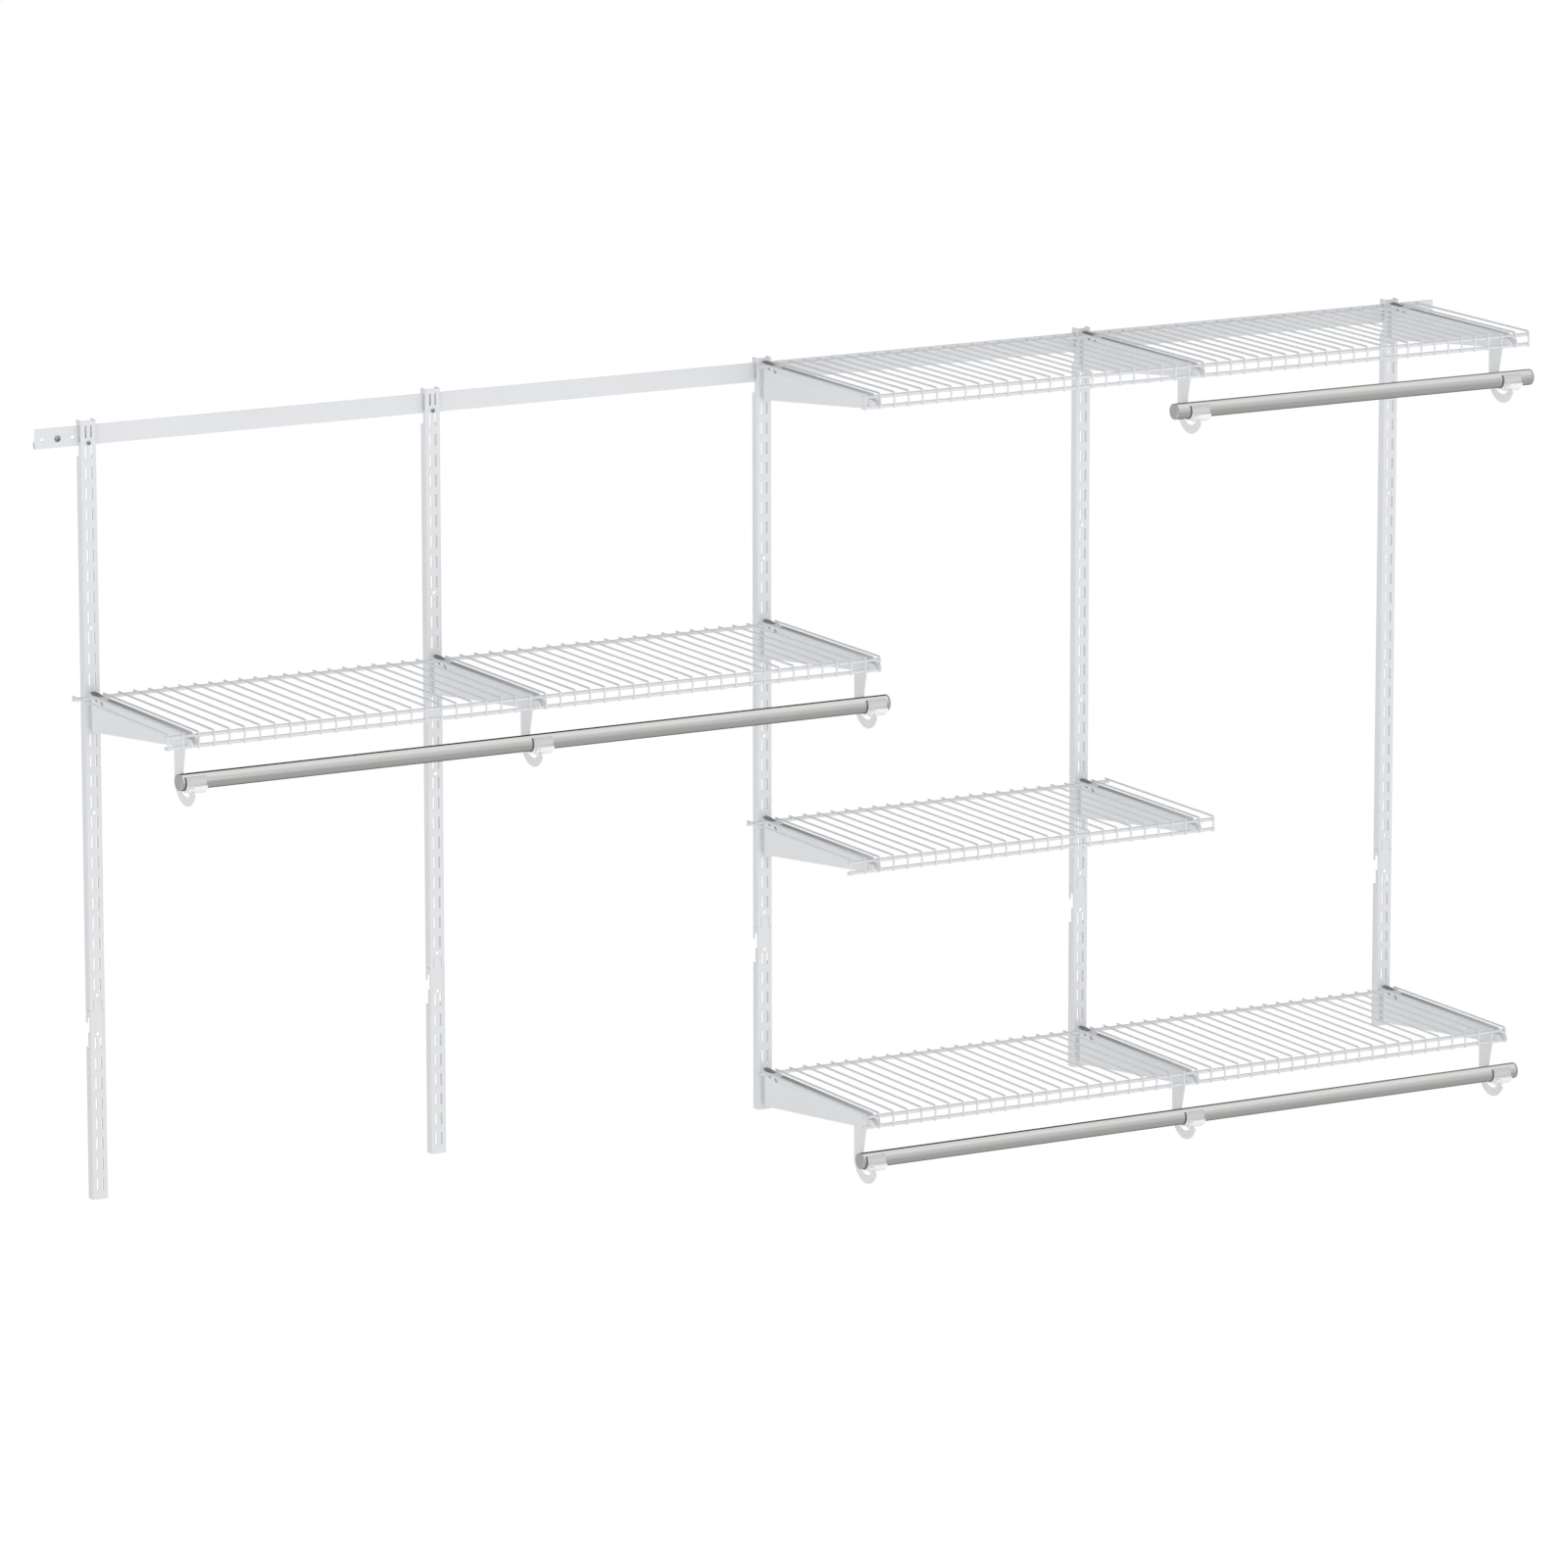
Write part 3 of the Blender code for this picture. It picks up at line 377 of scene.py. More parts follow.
def coat_material(material, base, roughness, grain, relief, spread):
    """Coated or moulded surface: faint mottling, uneven gloss and a fine relief."""
    tree, place = new_tree(material)
    patches = ranged(tree, noise(tree, place, 9, 4), 0, 1, 0.3, 0.7)
    mottled = mixed(tree, patches, tint(base, 1 - spread), tint(base, 1 + spread))
    # Painted shade: a face mark from the bracket mesh darkens the colour between the plates, in the clinch
    # pits and at the plates' rear.
    thin = add_node(tree, "ShaderNodeAttribute", attribute_name="thin_coat").outputs["Fac"]
    coat = mixed(tree, thin, mottled, tint(base, PAINTED_SHADE_SHARE))
    surface(tree, coat, noise(tree, place, grain, 3), roughness, 0.05, relief, COAT_RELIEF)


def metal_material(material, base, roughness, streaks, relief):
    """Plated metal with fine lines along X, as a drawn tube has."""
    tree, place = new_tree(material)
    stretch = add_node(tree, "ShaderNodeMapping", {"Vector": place, "Scale": streaks})
    lines = noise(tree, stretch.outputs[0], 1, 4)
    plated = mixed(tree, lines, tint(base, 0.94), tint(base, 1.05))
    inputs = surface(tree, plated, lines, roughness, 0.06, relief, METAL_RELIEF)
    inputs["Metallic"].default_value = 1
    inputs["Specular Tint"].default_value = (EDGE_SHARE, EDGE_SHARE, EDGE_SHARE, 1)


def finish(name):
    """Return a finish's material, made on its first use."""
    if name in bpy.data.materials:
        return bpy.data.materials[name]
    material = bpy.data.materials.new(name)
    maker, *values = LOOKS[name]
    base = getattr(bpy.context.scene.closet_finishes, name.removeprefix("closet_"))
    maker(material, base, *values)
    return material


# How each finish is made: its function, and that function's values after the colour.
LOOKS = {
    # coat and plate: one white powder coat, drawn in a shaded and a lit copy as painted shade near the wall.
    "closet_coat": (coat_material, 0.42, 900, 0.10, 0.012),
    "closet_plate": (coat_material, 0.42, 900, 0.10, 0.012),
    "closet_plastic": (coat_material, 0.5, 500, 0.06, 0.01),
    "closet_clip": (coat_material, 0.45, 500, 0.05, 0.02),
    "closet_cap": (coat_material, 0.38, 600, 0.10, 0.05),
    "closet_lock": (coat_material, 0.45, 600, 0.08, 0.05),
    # Painted shadow ring at the saddles' left ends.
    "closet_seam": (coat_material, 0.5, 600, 0.08, 0.05),
    "closet_nickel": (metal_material, 0.16, (3, 900, 900), 0.06),
    "closet_zinc": (metal_material, 0.35, (700, 700, 700), 0.2),
}
# The looks that a rod's metal mirrors; the white parts are left out of its reflections.
MIRRORED = ("closet_nickel", "closet_cap", "closet_zinc")


def close_mesh(tool, name):
    """Turn a bmesh into a mesh with its faces pointing out."""
    bmesh.ops.remove_doubles(tool, verts=tool.verts, dist=MERGE)
    bmesh.ops.recalc_face_normals(tool, faces=tool.faces)
    mesh = bpy.data.meshes.new(name)
    tool.to_mesh(mesh)
    tool.free()
    return mesh


def link(name, data):
    """Make an object and link it to the scene."""
    item = bpy.data.objects.new(name, data)
    bpy.context.scene.collection.objects.link(item)
    return item


def take_mesh(item, name):
    """Return an object's evaluated mesh in world space, and remove the object."""
    bpy.context.view_layer.update()
    graph = bpy.context.evaluated_depsgraph_get()
    raw = bpy.data.meshes.new_from_object(item.evaluated_get(graph))
    tool = bmesh.new()
    tool.from_mesh(raw)
    tool.transform(item.matrix_world)
    source = item.data
    bpy.data.objects.remove(item, do_unlink=True)
    bpy.data.meshes.remove(raw)
    if isinstance(source, bpy.types.Curve):
        bpy.data.curves.remove(source)
    return close_mesh(tool, name)


def prism(name, outlines, low, high, turn=FLAT):
    """Extrude flat outlines from low to high, along their own normal."""
    curve = bpy.data.curves.new(name, "CURVE")
    curve.dimensions = "2D"
    curve.fill_mode = "BOTH"
    curve.extrude = (high - low) / 2
    for points in outlines:
        spline = curve.splines.new("POLY")
        spline.points.add(len(points) - 1)
        spline.use_cyclic_u = True
        for point, (u, v) in zip(spline.points, points):
            point.co = (u, v, 0, 1)
    item = link(name, curve)
    item.matrix_world = turn @ Matrix.Translation((0, 0, (low + high) / 2))
    return take_mesh(item, name)


def wires(name, paths, radius, resolution):
    """Round bars along paths, capped at both ends."""
    curve = bpy.data.curves.new(name, "CURVE")
    curve.dimensions = "3D"
    curve.bevel_depth = radius
    curve.bevel_resolution = resolution
    curve.use_fill_caps = True
    for path in paths:
        spline = curve.splines.new("POLY")
        spline.points.add(len(path) - 1)
        for point, place in zip(spline.points, path):
            point.co = (*place, 1)
    return take_mesh(link(name, curve), name)


def combine(name, mesh, operation, others):
    """Cut, join or intersect a mesh with others."""
    body = link(name, mesh)
    helpers = [link("helper", other) for other in others]
    for helper in helpers:
        modifier = body.modifiers.new("boolean", "BOOLEAN")
        modifier.operation = operation
        modifier.solver = "EXACT"
        modifier.object = helper
    result = take_mesh(body, name)
    for helper in helpers:
        bpy.data.objects.remove(helper, do_unlink=True)
    return result


def shade(mesh):
    """Shade a mesh smooth, with its corners kept sharp."""
    mesh.shade_smooth()
    mesh.set_sharp_from_angle(angle=SHARP_ANGLE)
    return mesh


def soften(name, mesh, width, segments=2):
    """Round a mesh's sharp edges a little, as a coat or a mould does, and shade it."""
    body = link(name, mesh)
    bevel = body.modifiers.new("bevel", "BEVEL")
    bevel.width = width
    bevel.segments = segments
    bevel.limit_method = "ANGLE"
    bevel.angle_limit = SHARP_ANGLE
    bevel.use_clamp_overlap = True
    return shade(take_mesh(body, name))


def rounded(points, radius, steps=4):
    """Round an outline's corners; radius is one size, or one for each corner."""
    radii = [radius] * len(points) if isinstance(radius, float) else radius
    result = []
    for number, corner in enumerate(points):
        corner = Vector(corner)
        before = (Vector(points[number - 1]) - corner).normalized()
        after = (Vector(points[(number + 1) % len(points)]) - corner).normalized()
        half = before.angle(after) / 2
        if not radii[number] or half > STRAIGHT_ANGLE:
            result.append(tuple(corner))
            continue
        reach = radii[number] / math.tan(half)
        centre = corner + (before + after).normalized() * radii[number] / math.sin(half)
        start = corner + before * reach - centre
        turn = (corner + after * reach - centre).angle_signed(start)
        for step in range(steps + 1):
            spot = start.copy()
            spot.rotate(Matrix.Rotation(turn * step / steps, 2))
            result.append(tuple(centre + spot))
    return result


def circle(x, y, radius, sides=24):
    """Return a round outline."""
    turns = [2 * math.pi * number / sides for number in range(sides)]
    return [(x + radius * math.cos(turn), y + radius * math.sin(turn)) for turn in turns]


def arc(centre, radius, start, end, steps):
    """Return outline points on an arc; angle 0 is to the rear and +90 up."""
    points = []
    for number in range(steps + 1):
        turn = start + (end - start) * number / steps
        points.append((centre[0] + radius * math.cos(turn), centre[1] + radius * math.sin(turn)))
    return points


def rectangle(left, bottom, right, top):
    """Return a rectangle's outline."""
    return [(left, bottom), (right, bottom), (right, top), (left, top)]


def box_outline(x, y, width, height):
    """Return a rectangle round a centre."""
    return rectangle(x - width / 2, y - height / 2, x + width / 2, y + height / 2)


def turned(name, profile, sides, closed=False):
    """Turn a profile of (x, radius) points about the X axis."""
    tool = bmesh.new()
    verts = [tool.verts.new((x, 0, radius)) for x, radius in profile]
    ends = verts[1:] + verts[:1] if closed else verts[1:]
    edges = [tool.edges.new(pair) for pair in zip(verts, ends)]
    bmesh.ops.spin(
        tool, geom=verts + edges, cent=(0, 0, 0), axis=(1, 0, 0), dvec=(0, 0, 0),
        angle=2 * math.pi, steps=sides, use_merge=True, use_duplicate=False,
    )
    return shade(close_mesh(tool, name))


def swept(name, profile, start, end, steps):
    """Sweep a closed profile of (x, radius) about X; angle 0 is forward and +90 up."""
    tool = bmesh.new()
    across, up = -math.cos(start), math.sin(start)
    verts = [tool.verts.new((x, across * radius, up * radius)) for x, radius in profile]
    face = tool.faces.new(verts)
    bmesh.ops.spin(
        tool, geom=[face] + verts + list(face.edges), cent=(0, 0, 0), axis=(1, 0, 0),
        dvec=(0, 0, 0), angle=start - end, steps=steps, use_duplicate=False,
    )
    return close_mesh(tool, name)


def dress(name, mesh, look, body, node, location=(0, 0, 0)):
    """Put a finished mesh in place of a frame node, on the node's own body."""
    piece = link(name, mesh)
    if not mesh.materials:
        mesh.materials.append(finish(look))
    piece.location = location
    piece.visible_glossy = look in MIRRORED
    bpy.context.view_layer.update()
    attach(piece, body)
    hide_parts(node)
    return piece


def dress_columns(kind, mesh):
    """Put one mesh in place of all the uprights or extensions."""
    for number in UPRIGHTS:
        spot = (middle(f"upright_{number}")[0], 0, 0)
        dress(f"{kind}_skin_{number}", mesh, "closet_coat", "wall_frame", f"{kind}_{number}", spot)


def middle(node):
    """Return the centre of a frame node's box."""
    low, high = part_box(node)
    return [(start + end) / 2 for start, end in zip(low, high)]


def size_of(node):
    """Return the width, depth and height of a frame node's box."""
    low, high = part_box(node)
    return [end - start for start, end in zip(low, high)]


def bracket_nodes():
    """Return each bracket's level, its number, the middle of its top, and whether it has a hook."""
    found = []
    for level in LEVELS:
        for number in UPRIGHTS:
            node = f"{level}_bracket_{number}"
            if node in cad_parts:
                spot = (middle(node)[0], 0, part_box(node)[1][2])
                found.append((level, number, spot, f"{level}_saddle_{number}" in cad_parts))
    return found


def channel(name, low, high, depth, width, sizes):
    """Folded channel: a web in front and two flanges back to the wall."""
    half, sheet, edge = width / 2, sizes.sheet, sizes.edge
    inner = max(sizes.bend - sheet, sheet * TIGHT_SHARE)
    corners = [
        (-half, 0), (-half, -depth), (half, -depth), (half, 0),
        (half - sheet, 0), (half - sheet, sheet - depth),
        (sheet - half, sheet - depth), (sheet - half, 0),
    ]
    radii = [edge, sizes.bend, sizes.bend, edge, edge, inner, inner, edge]
    return prism(name, [rounded(corners, radii)], low, high)


def web_cutter(name, outlines, depth, sizes):
    """Cutter through the front sheet of a column or of the rail."""
    return prism(name, outlines, depth - sizes.sheet - OVERRUN, depth + OVERRUN, ALONG_Y)


def slot_cutters(first, count, holes, depth, sizes):
    """Slots in two columns and round holes on the centre line."""
    outlines = []
    for index in range(count):
        z = first - index * sizes.slot_pitch
        for x in (-sizes.slot_offset, sizes.slot_offset):
            slot = box_outline(x, z, sizes.slot_width, sizes.slot_length)
            outlines.append(rounded(slot, sizes.slot_width * SLOT_ROUND_SHARE))
    outlines += [circle(0, z, sizes.hole_width / 2) for z in holes]
    return web_cutter("slots", outlines, depth, sizes)


def notch_cutters(first, width, sizes):
    """Rail notch in both flanges: a deep part in front of a hook tab, a shallow one below."""
    rail_low, rail_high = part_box("hang_rail")
    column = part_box("upright_1")[1][2]
    lift = first - (column - sizes.first_slot - sizes.slot_length / 2 - sizes.slot_pitch)
    top, depth = rail_high[2] + FIT + lift, -rail_low[1]
    low_top = top - (rail_high[2] - rail_low[2]) * sizes.tab_height_share
    deep = rectangle(
        -depth * sizes.notch_depth_share, first + sizes.slot_length * sizes.deep_end_share,
        -depth * sizes.tab_depth_share, top,
    )
    low = rectangle(-depth - FIT * 2, first - sizes.slot_length * sizes.notch_foot_share, OVERRUN, low_top)
    side = width / 2 + OVERRUN
    return [
        prism("deep_notch", [rounded(deep, sizes.cut_round)], -side, side, ALONG_X),
        prism("low_notch", [low], -side, side, ALONG_X),
    ]


class CLOSET_OT_rail(bpy.types.Operator):
    """Add the hang rail with its end holes"""

    bl_idname = "closet.rail"
    bl_label = "Add hang rail"

    def execute(self, context):
        sizes = context.scene.closet_columns
        low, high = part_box("hang_rail")
        sheet, depth, leg = sizes.sheet, -low[1], low[2] + sizes.rail_leg
        corners = [
            (0, low[2]), (0, leg), (-sheet, leg), (-sheet, low[2] + sheet),
            (sheet - depth, low[2] + sheet), (sheet - depth, high[2]),
            (-depth, high[2]), (-depth, low[2]),
        ]
        outer, inner, edge = sizes.rail_bend, sheet * TIGHT_SHARE, sizes.edge
        radii = [outer, edge, edge, inner, inner, edge, edge, outer]
        rail = prism("hang_rail_body", [rounded(corners, radii)], low[0], high[0], ALONG_X)
        outlines = []
        for number in range(RAIL_HOLES):
            inset = sizes.rail_hole_inset + number * context.scene.closet_shelves.pitch
            for x in (low[0] + inset, high[0] - inset):
                outlines.append(circle(x, low[2] + sizes.rail_hole_rise, sizes.rail_hole_width / 2))
        drill = web_cutter("rail_holes", outlines, depth, sizes)
        rail = combine("hang_rail_skin", rail, "DIFFERENCE", [drill])
        dress("rail_skin", shade(rail), "closet_coat", "wall_frame", "hang_rail")
        return {"FINISHED"}


class CLOSET_OT_uprights(bpy.types.Operator):
    """Add the slotted uprights"""

    bl_idname = "closet.uprights"
    bl_label = "Add uprights"

    def execute(self, context):
        sizes = context.scene.closet_columns
        low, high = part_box("upright_1")
        depth, width = -low[1], high[0] - low[0]
        body = channel("upright_body", low[2], high[2], depth, width, sizes)
        top = high[2] - sizes.first_slot - sizes.slot_length / 2
        room = top - sizes.slot_length / 2 - sizes.foot - low[2]
        count = int(room / sizes.slot_pitch) + 1
        first = top - sizes.slot_pitch
        step = HOLE_SLOTS * sizes.slot_pitch
        holes = [first + sizes.hole_rise - number * step for number in range(HOLES)]
        seat_width = sizes.tongue_width + 2 * sizes.joint_gap
        seat = box_outline(0, low[2], seat_width, 2 * (sizes.tongue_height + sizes.joint_gap / 2))
        cutters = [
            slot_cutters(top, count, holes, depth, sizes),
            web_cutter("seat", [rounded(seat, sizes.seat_round)], depth, sizes),
        ] + notch_cutters(first, width, sizes)
        body = combine("upright", body, "DIFFERENCE", cutters)
        dress_columns("upright", soften("upright", body, sizes.edge))
        return {"FINISHED"}


class CLOSET_OT_extensions(bpy.types.Operator):
    """Add the extensions below the uprights"""

    bl_idname = "closet.extensions"
    bl_label = "Add extensions"

    def execute(self, context):
        sizes = context.scene.closet_columns
        low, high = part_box("extension_1")
        depth, width = -low[1], high[0] - low[0]
        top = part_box("upright_1")[0][2] - sizes.joint_gap
        body = channel("extension_body", low[2], top, depth, width, sizes)
        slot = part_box("bottom_bracket_1")[1][2] - sizes.slot_length / 2
        first = slot + SLOTS_ABOVE * sizes.slot_pitch
        cutters = [slot_cutters(first, EXTENSION_SLOTS, [first + sizes.hole_rise], depth, sizes)]
        cutters += notch_cutters(first, width, sizes)
        body = combine("extension_cut", body, "DIFFERENCE", cutters)
        half, corner = sizes.tongue_width / 2, sizes.cut_round
        outline = rounded(rectangle(-half, top - sizes.sheet, half, high[2]), [0, 0, corner, corner])
        tongue = prism("tongue", [outline], depth - sizes.sheet, depth, ALONG_Y)
        mesh = combine("extension", body, "UNION", [tongue])
        dress_columns("extension", soften("extension", mesh, sizes.edge))
        return {"FINISHED"}


def screw(name, node, head_share, shank_share):
    """Pan head screw with a cross recess, along -Y, made to its node's box."""
    low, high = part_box(node)
    radius, total = (high[2] - low[2]) / 2, high[1] - low[1]
    head, shank = radius * head_share, radius * shank_share
    rim, crown = 1 - CROWN_SHARE, []
    for step in range(1, 7):
        turn = math.pi / 2 * step / 6
        crown.append((head * math.sin(turn), radius * (rim + CROWN_SHARE * math.cos(turn))))
    point = head - total + shank
    profile = [(head - total, 0), (point, shank * POINT_SHARE), (point, shank), (0, shank), (0, radius)]
    mesh = turned(name, profile + crown + [(head, 0)], 32)
    arm, slit, floor = radius * RECESS_SHARE, radius * SLIT_SHARE, head * (1 - RECESS_DEPTH_SHARE)
    recess = []
    for width, height in ((arm, slit), (slit, arm)):
        part = prism("recess", [box_outline(0, 0, width, height)], floor, head + OVERRUN)
        part.transform(Matrix.Rotation(math.pi / 2, 4, "Y"))
        recess.append(part)
    mesh = combine(name, mesh, "DIFFERENCE", recess)
    mesh.transform(Matrix.Rotation(-math.pi / 2, 4, "Z"))
    spot = middle(node)
    return shade(mesh), (spot[0], low[1] + head, spot[2])


class CLOSET_OT_screws(bpy.types.Operator):
    """Add the screws of the rail and the uprights"""

    bl_idname = "closet.screws"
    bl_label = "Add screws"

    def execute(self, context):
        nodes = [(f"upright_screw_{number}", UPRIGHT_SCREW_SHARES) for number in UPRIGHTS]
        nodes += [("wall_screw_left", WALL_SCREW_SHARES), ("wall_screw_right", WALL_SCREW_SHARES)]
        for node, shares in nodes:
            mesh, spot = screw(f"{node}_mesh", node, *shares)
            dress(f"{node}_skin", mesh, "closet_zinc", "wall_frame", node, spot)
        return {"FINISHED"}


def wire_path(x, sizes, rear, end):
    """Path of a cross wire: forward, round the bend and down the lip."""
    bend, deep = sizes.bend, sizes.lip_depth
    path = [(x, -rear, sizes.rise)]
    for step in range(6):
        turn = math.pi / 2 * step / 5
        path.append((x, -deep + bend - bend * math.sin(turn), sizes.rise - bend + bend * math.cos(turn)))
    path.append((x, -deep, end))
    return path


class CLOSET_OT_shelves(bpy.types.Operator):
    """Add the wire shelves"""

    bl_idname = "closet.shelves"
    bl_label = "Add wire shelves"

    def execute(self, context):
        sizes = context.scene.closet_shelves
        wire, rod, reach = sizes.wire / 2, sizes.rod / 2, sizes.reach
        tops = {level: spot[2] for level, _, spot, _ in bracket_nodes()}
        for level, top in tops.items():
            node = f"{level}_shelf"
            low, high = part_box(node)
            count = round((high[0] - low[0] - 2 * reach) / sizes.pitch) + 1
            end, rear = low[2] - top, -high[1]
            paths = [wire_path(number * sizes.pitch, sizes, rear, end) for number in range(count)]
            mesh = wires(f"{node}_wires", paths, wire, 3)
            span = (-reach, (count - 1) * sizes.pitch + reach)
            lip = sizes.lip_depth - wire - rod + sizes.weld
            places = [
                (sizes.back_rod, sizes.rise - wire - rod + sizes.weld),
                (lip, -sizes.front_rod_drop),
                (lip, end + sizes.lip_rod_rise),
            ]
            lines = [[(x, -depth, z) for x in span] for depth, z in places]
            mesh = combine(node, mesh, "UNION", [wires(f"{node}_rods", lines, rod, 5)])
            spot = (low[0] + reach, 0, top)
            dress(f"{level}_shelf_wires", shade(mesh), "closet_coat", f"{level}_shelf_set", node, spot)
        return {"FINISHED"}


def bracket_bottom(depth, sizes):
    """Height of a bracket's sloping bottom edge below its top."""
    return sizes.slope * (depth - sizes.joggle_end) - sizes.rear


def rear_outline(sizes, columns):
    """Rear edge of a bracket plate, bottom to top, with two tabs for slots."""
    depth = -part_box("upright_1")[0][1]
    rear, front = depth + FIT, columns.sheet + FIT - depth
    back = front + sizes.tab_width
    bottom = bracket_bottom(sizes.joggle_end, sizes)
    points = [(-sizes.joggle_end, bottom), (-rear, bottom + sizes.rear_cut)]
    for number in (1, 0):
        top = -number * columns.slot_pitch
        rest = top - columns.slot_length + FIT
        points += [
            (-rear, rest), (front, rest), (front, rest - sizes.tab_drop), (back, rest - sizes.tab_drop),
            (back, top - sizes.tab_play), (-rear, top - sizes.tab_play),
        ]
    return points + [(-rear, -sizes.corner_drop), (-sizes.corner_depth, 0)]


def top_outline(sizes, shelves):
    """Top edge of a bracket plate, from its rear to its nose, notched for the rods."""
    wire, rod = shelves.wire / 2, shelves.rod / 2
    half = rod + FIT
    back = (-shelves.back_rod, shelves.rise - wire - rod + shelves.weld)
    lip = shelves.lip_depth - wire - rod + shelves.weld
    front = (-lip, -shelves.front_rod_drop)
    tip = shelves.lip_depth + sizes.nose
    lip_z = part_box("left_shelf")[0][2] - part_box("left_bracket_1")[1][2] + shelves.lip_rod_rise
    nose_top = front[1] - half + sizes.nose_rise
    points = [(back[0] + half, 0)] + arc(back, half, 0, -math.pi, 8) + [(back[0] - half, 0)]
    points += [(front[0] + half, 0)] + arc(front, half, 0, -sizes.notch_angle, 8)
    points.append((-shelves.lip_depth, nose_top))
    centre = (sizes.nose_round - tip, nose_top - sizes.nose_round)
    points += arc(centre, sizes.nose_round, math.pi / 2, math.pi, 8)
    points += [(-tip, lip_z + half), (-lip, lip_z + half)]
    points += arc((-lip, lip_z), half, math.pi / 2, 0, 5)[1:]
    return points + [(-lip + half, bracket_bottom(lip, sizes))]


def hook_outline(sizes, rods, centre, radius):
    """Rod hook below a plate: throat, saddle seat, tip and round outside."""
    seat = radius + 2 * BORE_PLAY + rods.ear_rise
    outer = seat + sizes.hook_width
    lip, tip = rods.lip_angle - sizes.lip_play, math.pi - sizes.tip_angle
    points = arc(centre, radius + sizes.hook_throat, sizes.throat_angle, -lip, 10)
    points += arc(centre, seat, -lip, -tip, 24)
    points += arc(centre, (seat + outer) / 2, -tip - sizes.tip_round, 0, 1)[:1]
    points += arc(centre, outer, -tip, 0, 32)
    stem = -centre[0] - outer
    points.append((-stem, bracket_bottom(stem, sizes)))
    return points, outer


def plate(name, side, hook, scene):
    """One bracket plate: a bent sheet seen from above, cut to its side outline."""
    sizes, columns = scene.closet_brackets, scene.closet_columns
    low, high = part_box("middle_bracket_1")
    outer = side * (high[0] - low[0]) / 2
    inner = outer - side * sizes.sheet
    slot = columns.slot_offset + columns.slot_width / 2 - SLOT_PLAY
    rear_outer, rear_inner = side * slot, side * (slot - sizes.sheet)
    outline = rear_outline(sizes, columns) + top_outline(sizes, scene.closet_shelves)
    front, bottom = low[1], low[2] - high[2]
    if hook:
        centre, radius = hook
        lower, reach = hook_outline(sizes, scene.closet_rods, centre, radius)
        outline += lower
        front, bottom = centre[0] - reach, centre[1] - reach
    plan = [
        (outer, front - OVERRUN), (outer, -sizes.joggle_end), (rear_outer, -sizes.joggle_start),
        (rear_outer, 0), (rear_inner, 0), (rear_inner, -sizes.joggle_start),
        (inner, -sizes.joggle_end), (inner, front - OVERRUN),
    ]
    sheet = prism(f"{name}_sheet", [plan], bottom - OVERRUN, OVERRUN)
    view = prism(f"{name}_view", [outline], low[0] - high[0], high[0] - low[0], ALONG_X)
    return combine(name, sheet, "INTERSECT", [view])


def clinch_marks(sizes, width):
    """Small round pits in the outsides of both plates, near the rear."""
    radius = (sizes.clinch ** 2 / 4 + sizes.clinch_depth ** 2) / (2 * sizes.clinch_depth)
    reach = width / 2 + radius - sizes.clinch_depth
    marks = []
    for depth, drop in CLINCH_PLACES:
        tool = bmesh.new()
        for side in (-1, 1):
            spot = Matrix.Translation((side * reach, -depth, -drop)) @ Matrix.Diagonal(CLINCH_SHARES)
            bmesh.ops.create_uvsphere(tool, u_segments=48, v_segments=24, radius=radius, matrix=spot)
        marks.append(close_mesh(tool, "clinch"))
    return marks


def bridge(sizes, width):
    """Bridge between a bracket's plates: a flat top, and a flap down its front."""
    top, start, end = -sizes.bridge_recess, -sizes.bridge_start, -sizes.bridge_end
    profile = [
        (start, top), (start, top - sizes.sheet), (end + sizes.sheet, top - sizes.sheet),
        (end + sizes.sheet, top - sizes.bridge_flap), (end, top - sizes.bridge_flap), (end, top),
    ]
    half = (width - sizes.sheet) / 2
    return prism("bridge", [rounded(profile, [0, 0, 0, 0, 0, sizes.bridge_bend])], -half, half, ALONG_X)


def thin_coat(mesh, sizes, width):
    """Mark where shade is painted into the coat: between the plates, in the clinch pits and on the plates'
    rear strip.
    """
    mark = mesh.attributes.new("thin_coat", "FLOAT", "CORNER")
    for face in mesh.polygons:
        x, y, z = face.center
        outward = face.normal.x * math.copysign(1, x)
        pit = min(math.hypot(y + depth, z + drop) for depth, drop in CLINCH_PLACES)
        value = 0.0
        if outward < -SIDEWAYS:
            value = INNER_SHADE_SHARE
        elif pit < sizes.clinch and abs(x) < width / 2 - LAP and -y > sizes.joggle_end:
            value = PIT_SHADE_SHARE
        elif outward > SIDEWAYS and -y < sizes.joggle_end:
            value = REAR_SHADE_SHARE
        for corner in face.loop_indices:
            depth = -mesh.vertices[mesh.loops[corner].vertex_index].co.y
            mark.data[corner].value = value if depth < sizes.painted_shade_reach else 0.0
    return mesh


def bracket(kind, hook, scene):
    """Bracket of two plates joined by a bridge at the top, with clinch marks."""
    sizes, width = scene.closet_brackets, size_of("middle_bracket_1")[0]
    left = plate(f"{kind}_left", -1, hook, scene)
    right = plate(f"{kind}_right", 1, None, scene)
    mesh = combine(kind, left, "UNION", [right, bridge(sizes, width)])
    mesh = combine(kind, mesh, "DIFFERENCE", clinch_marks(sizes, width))
    return thin_coat(soften(kind, mesh, sizes.edge), sizes, width)


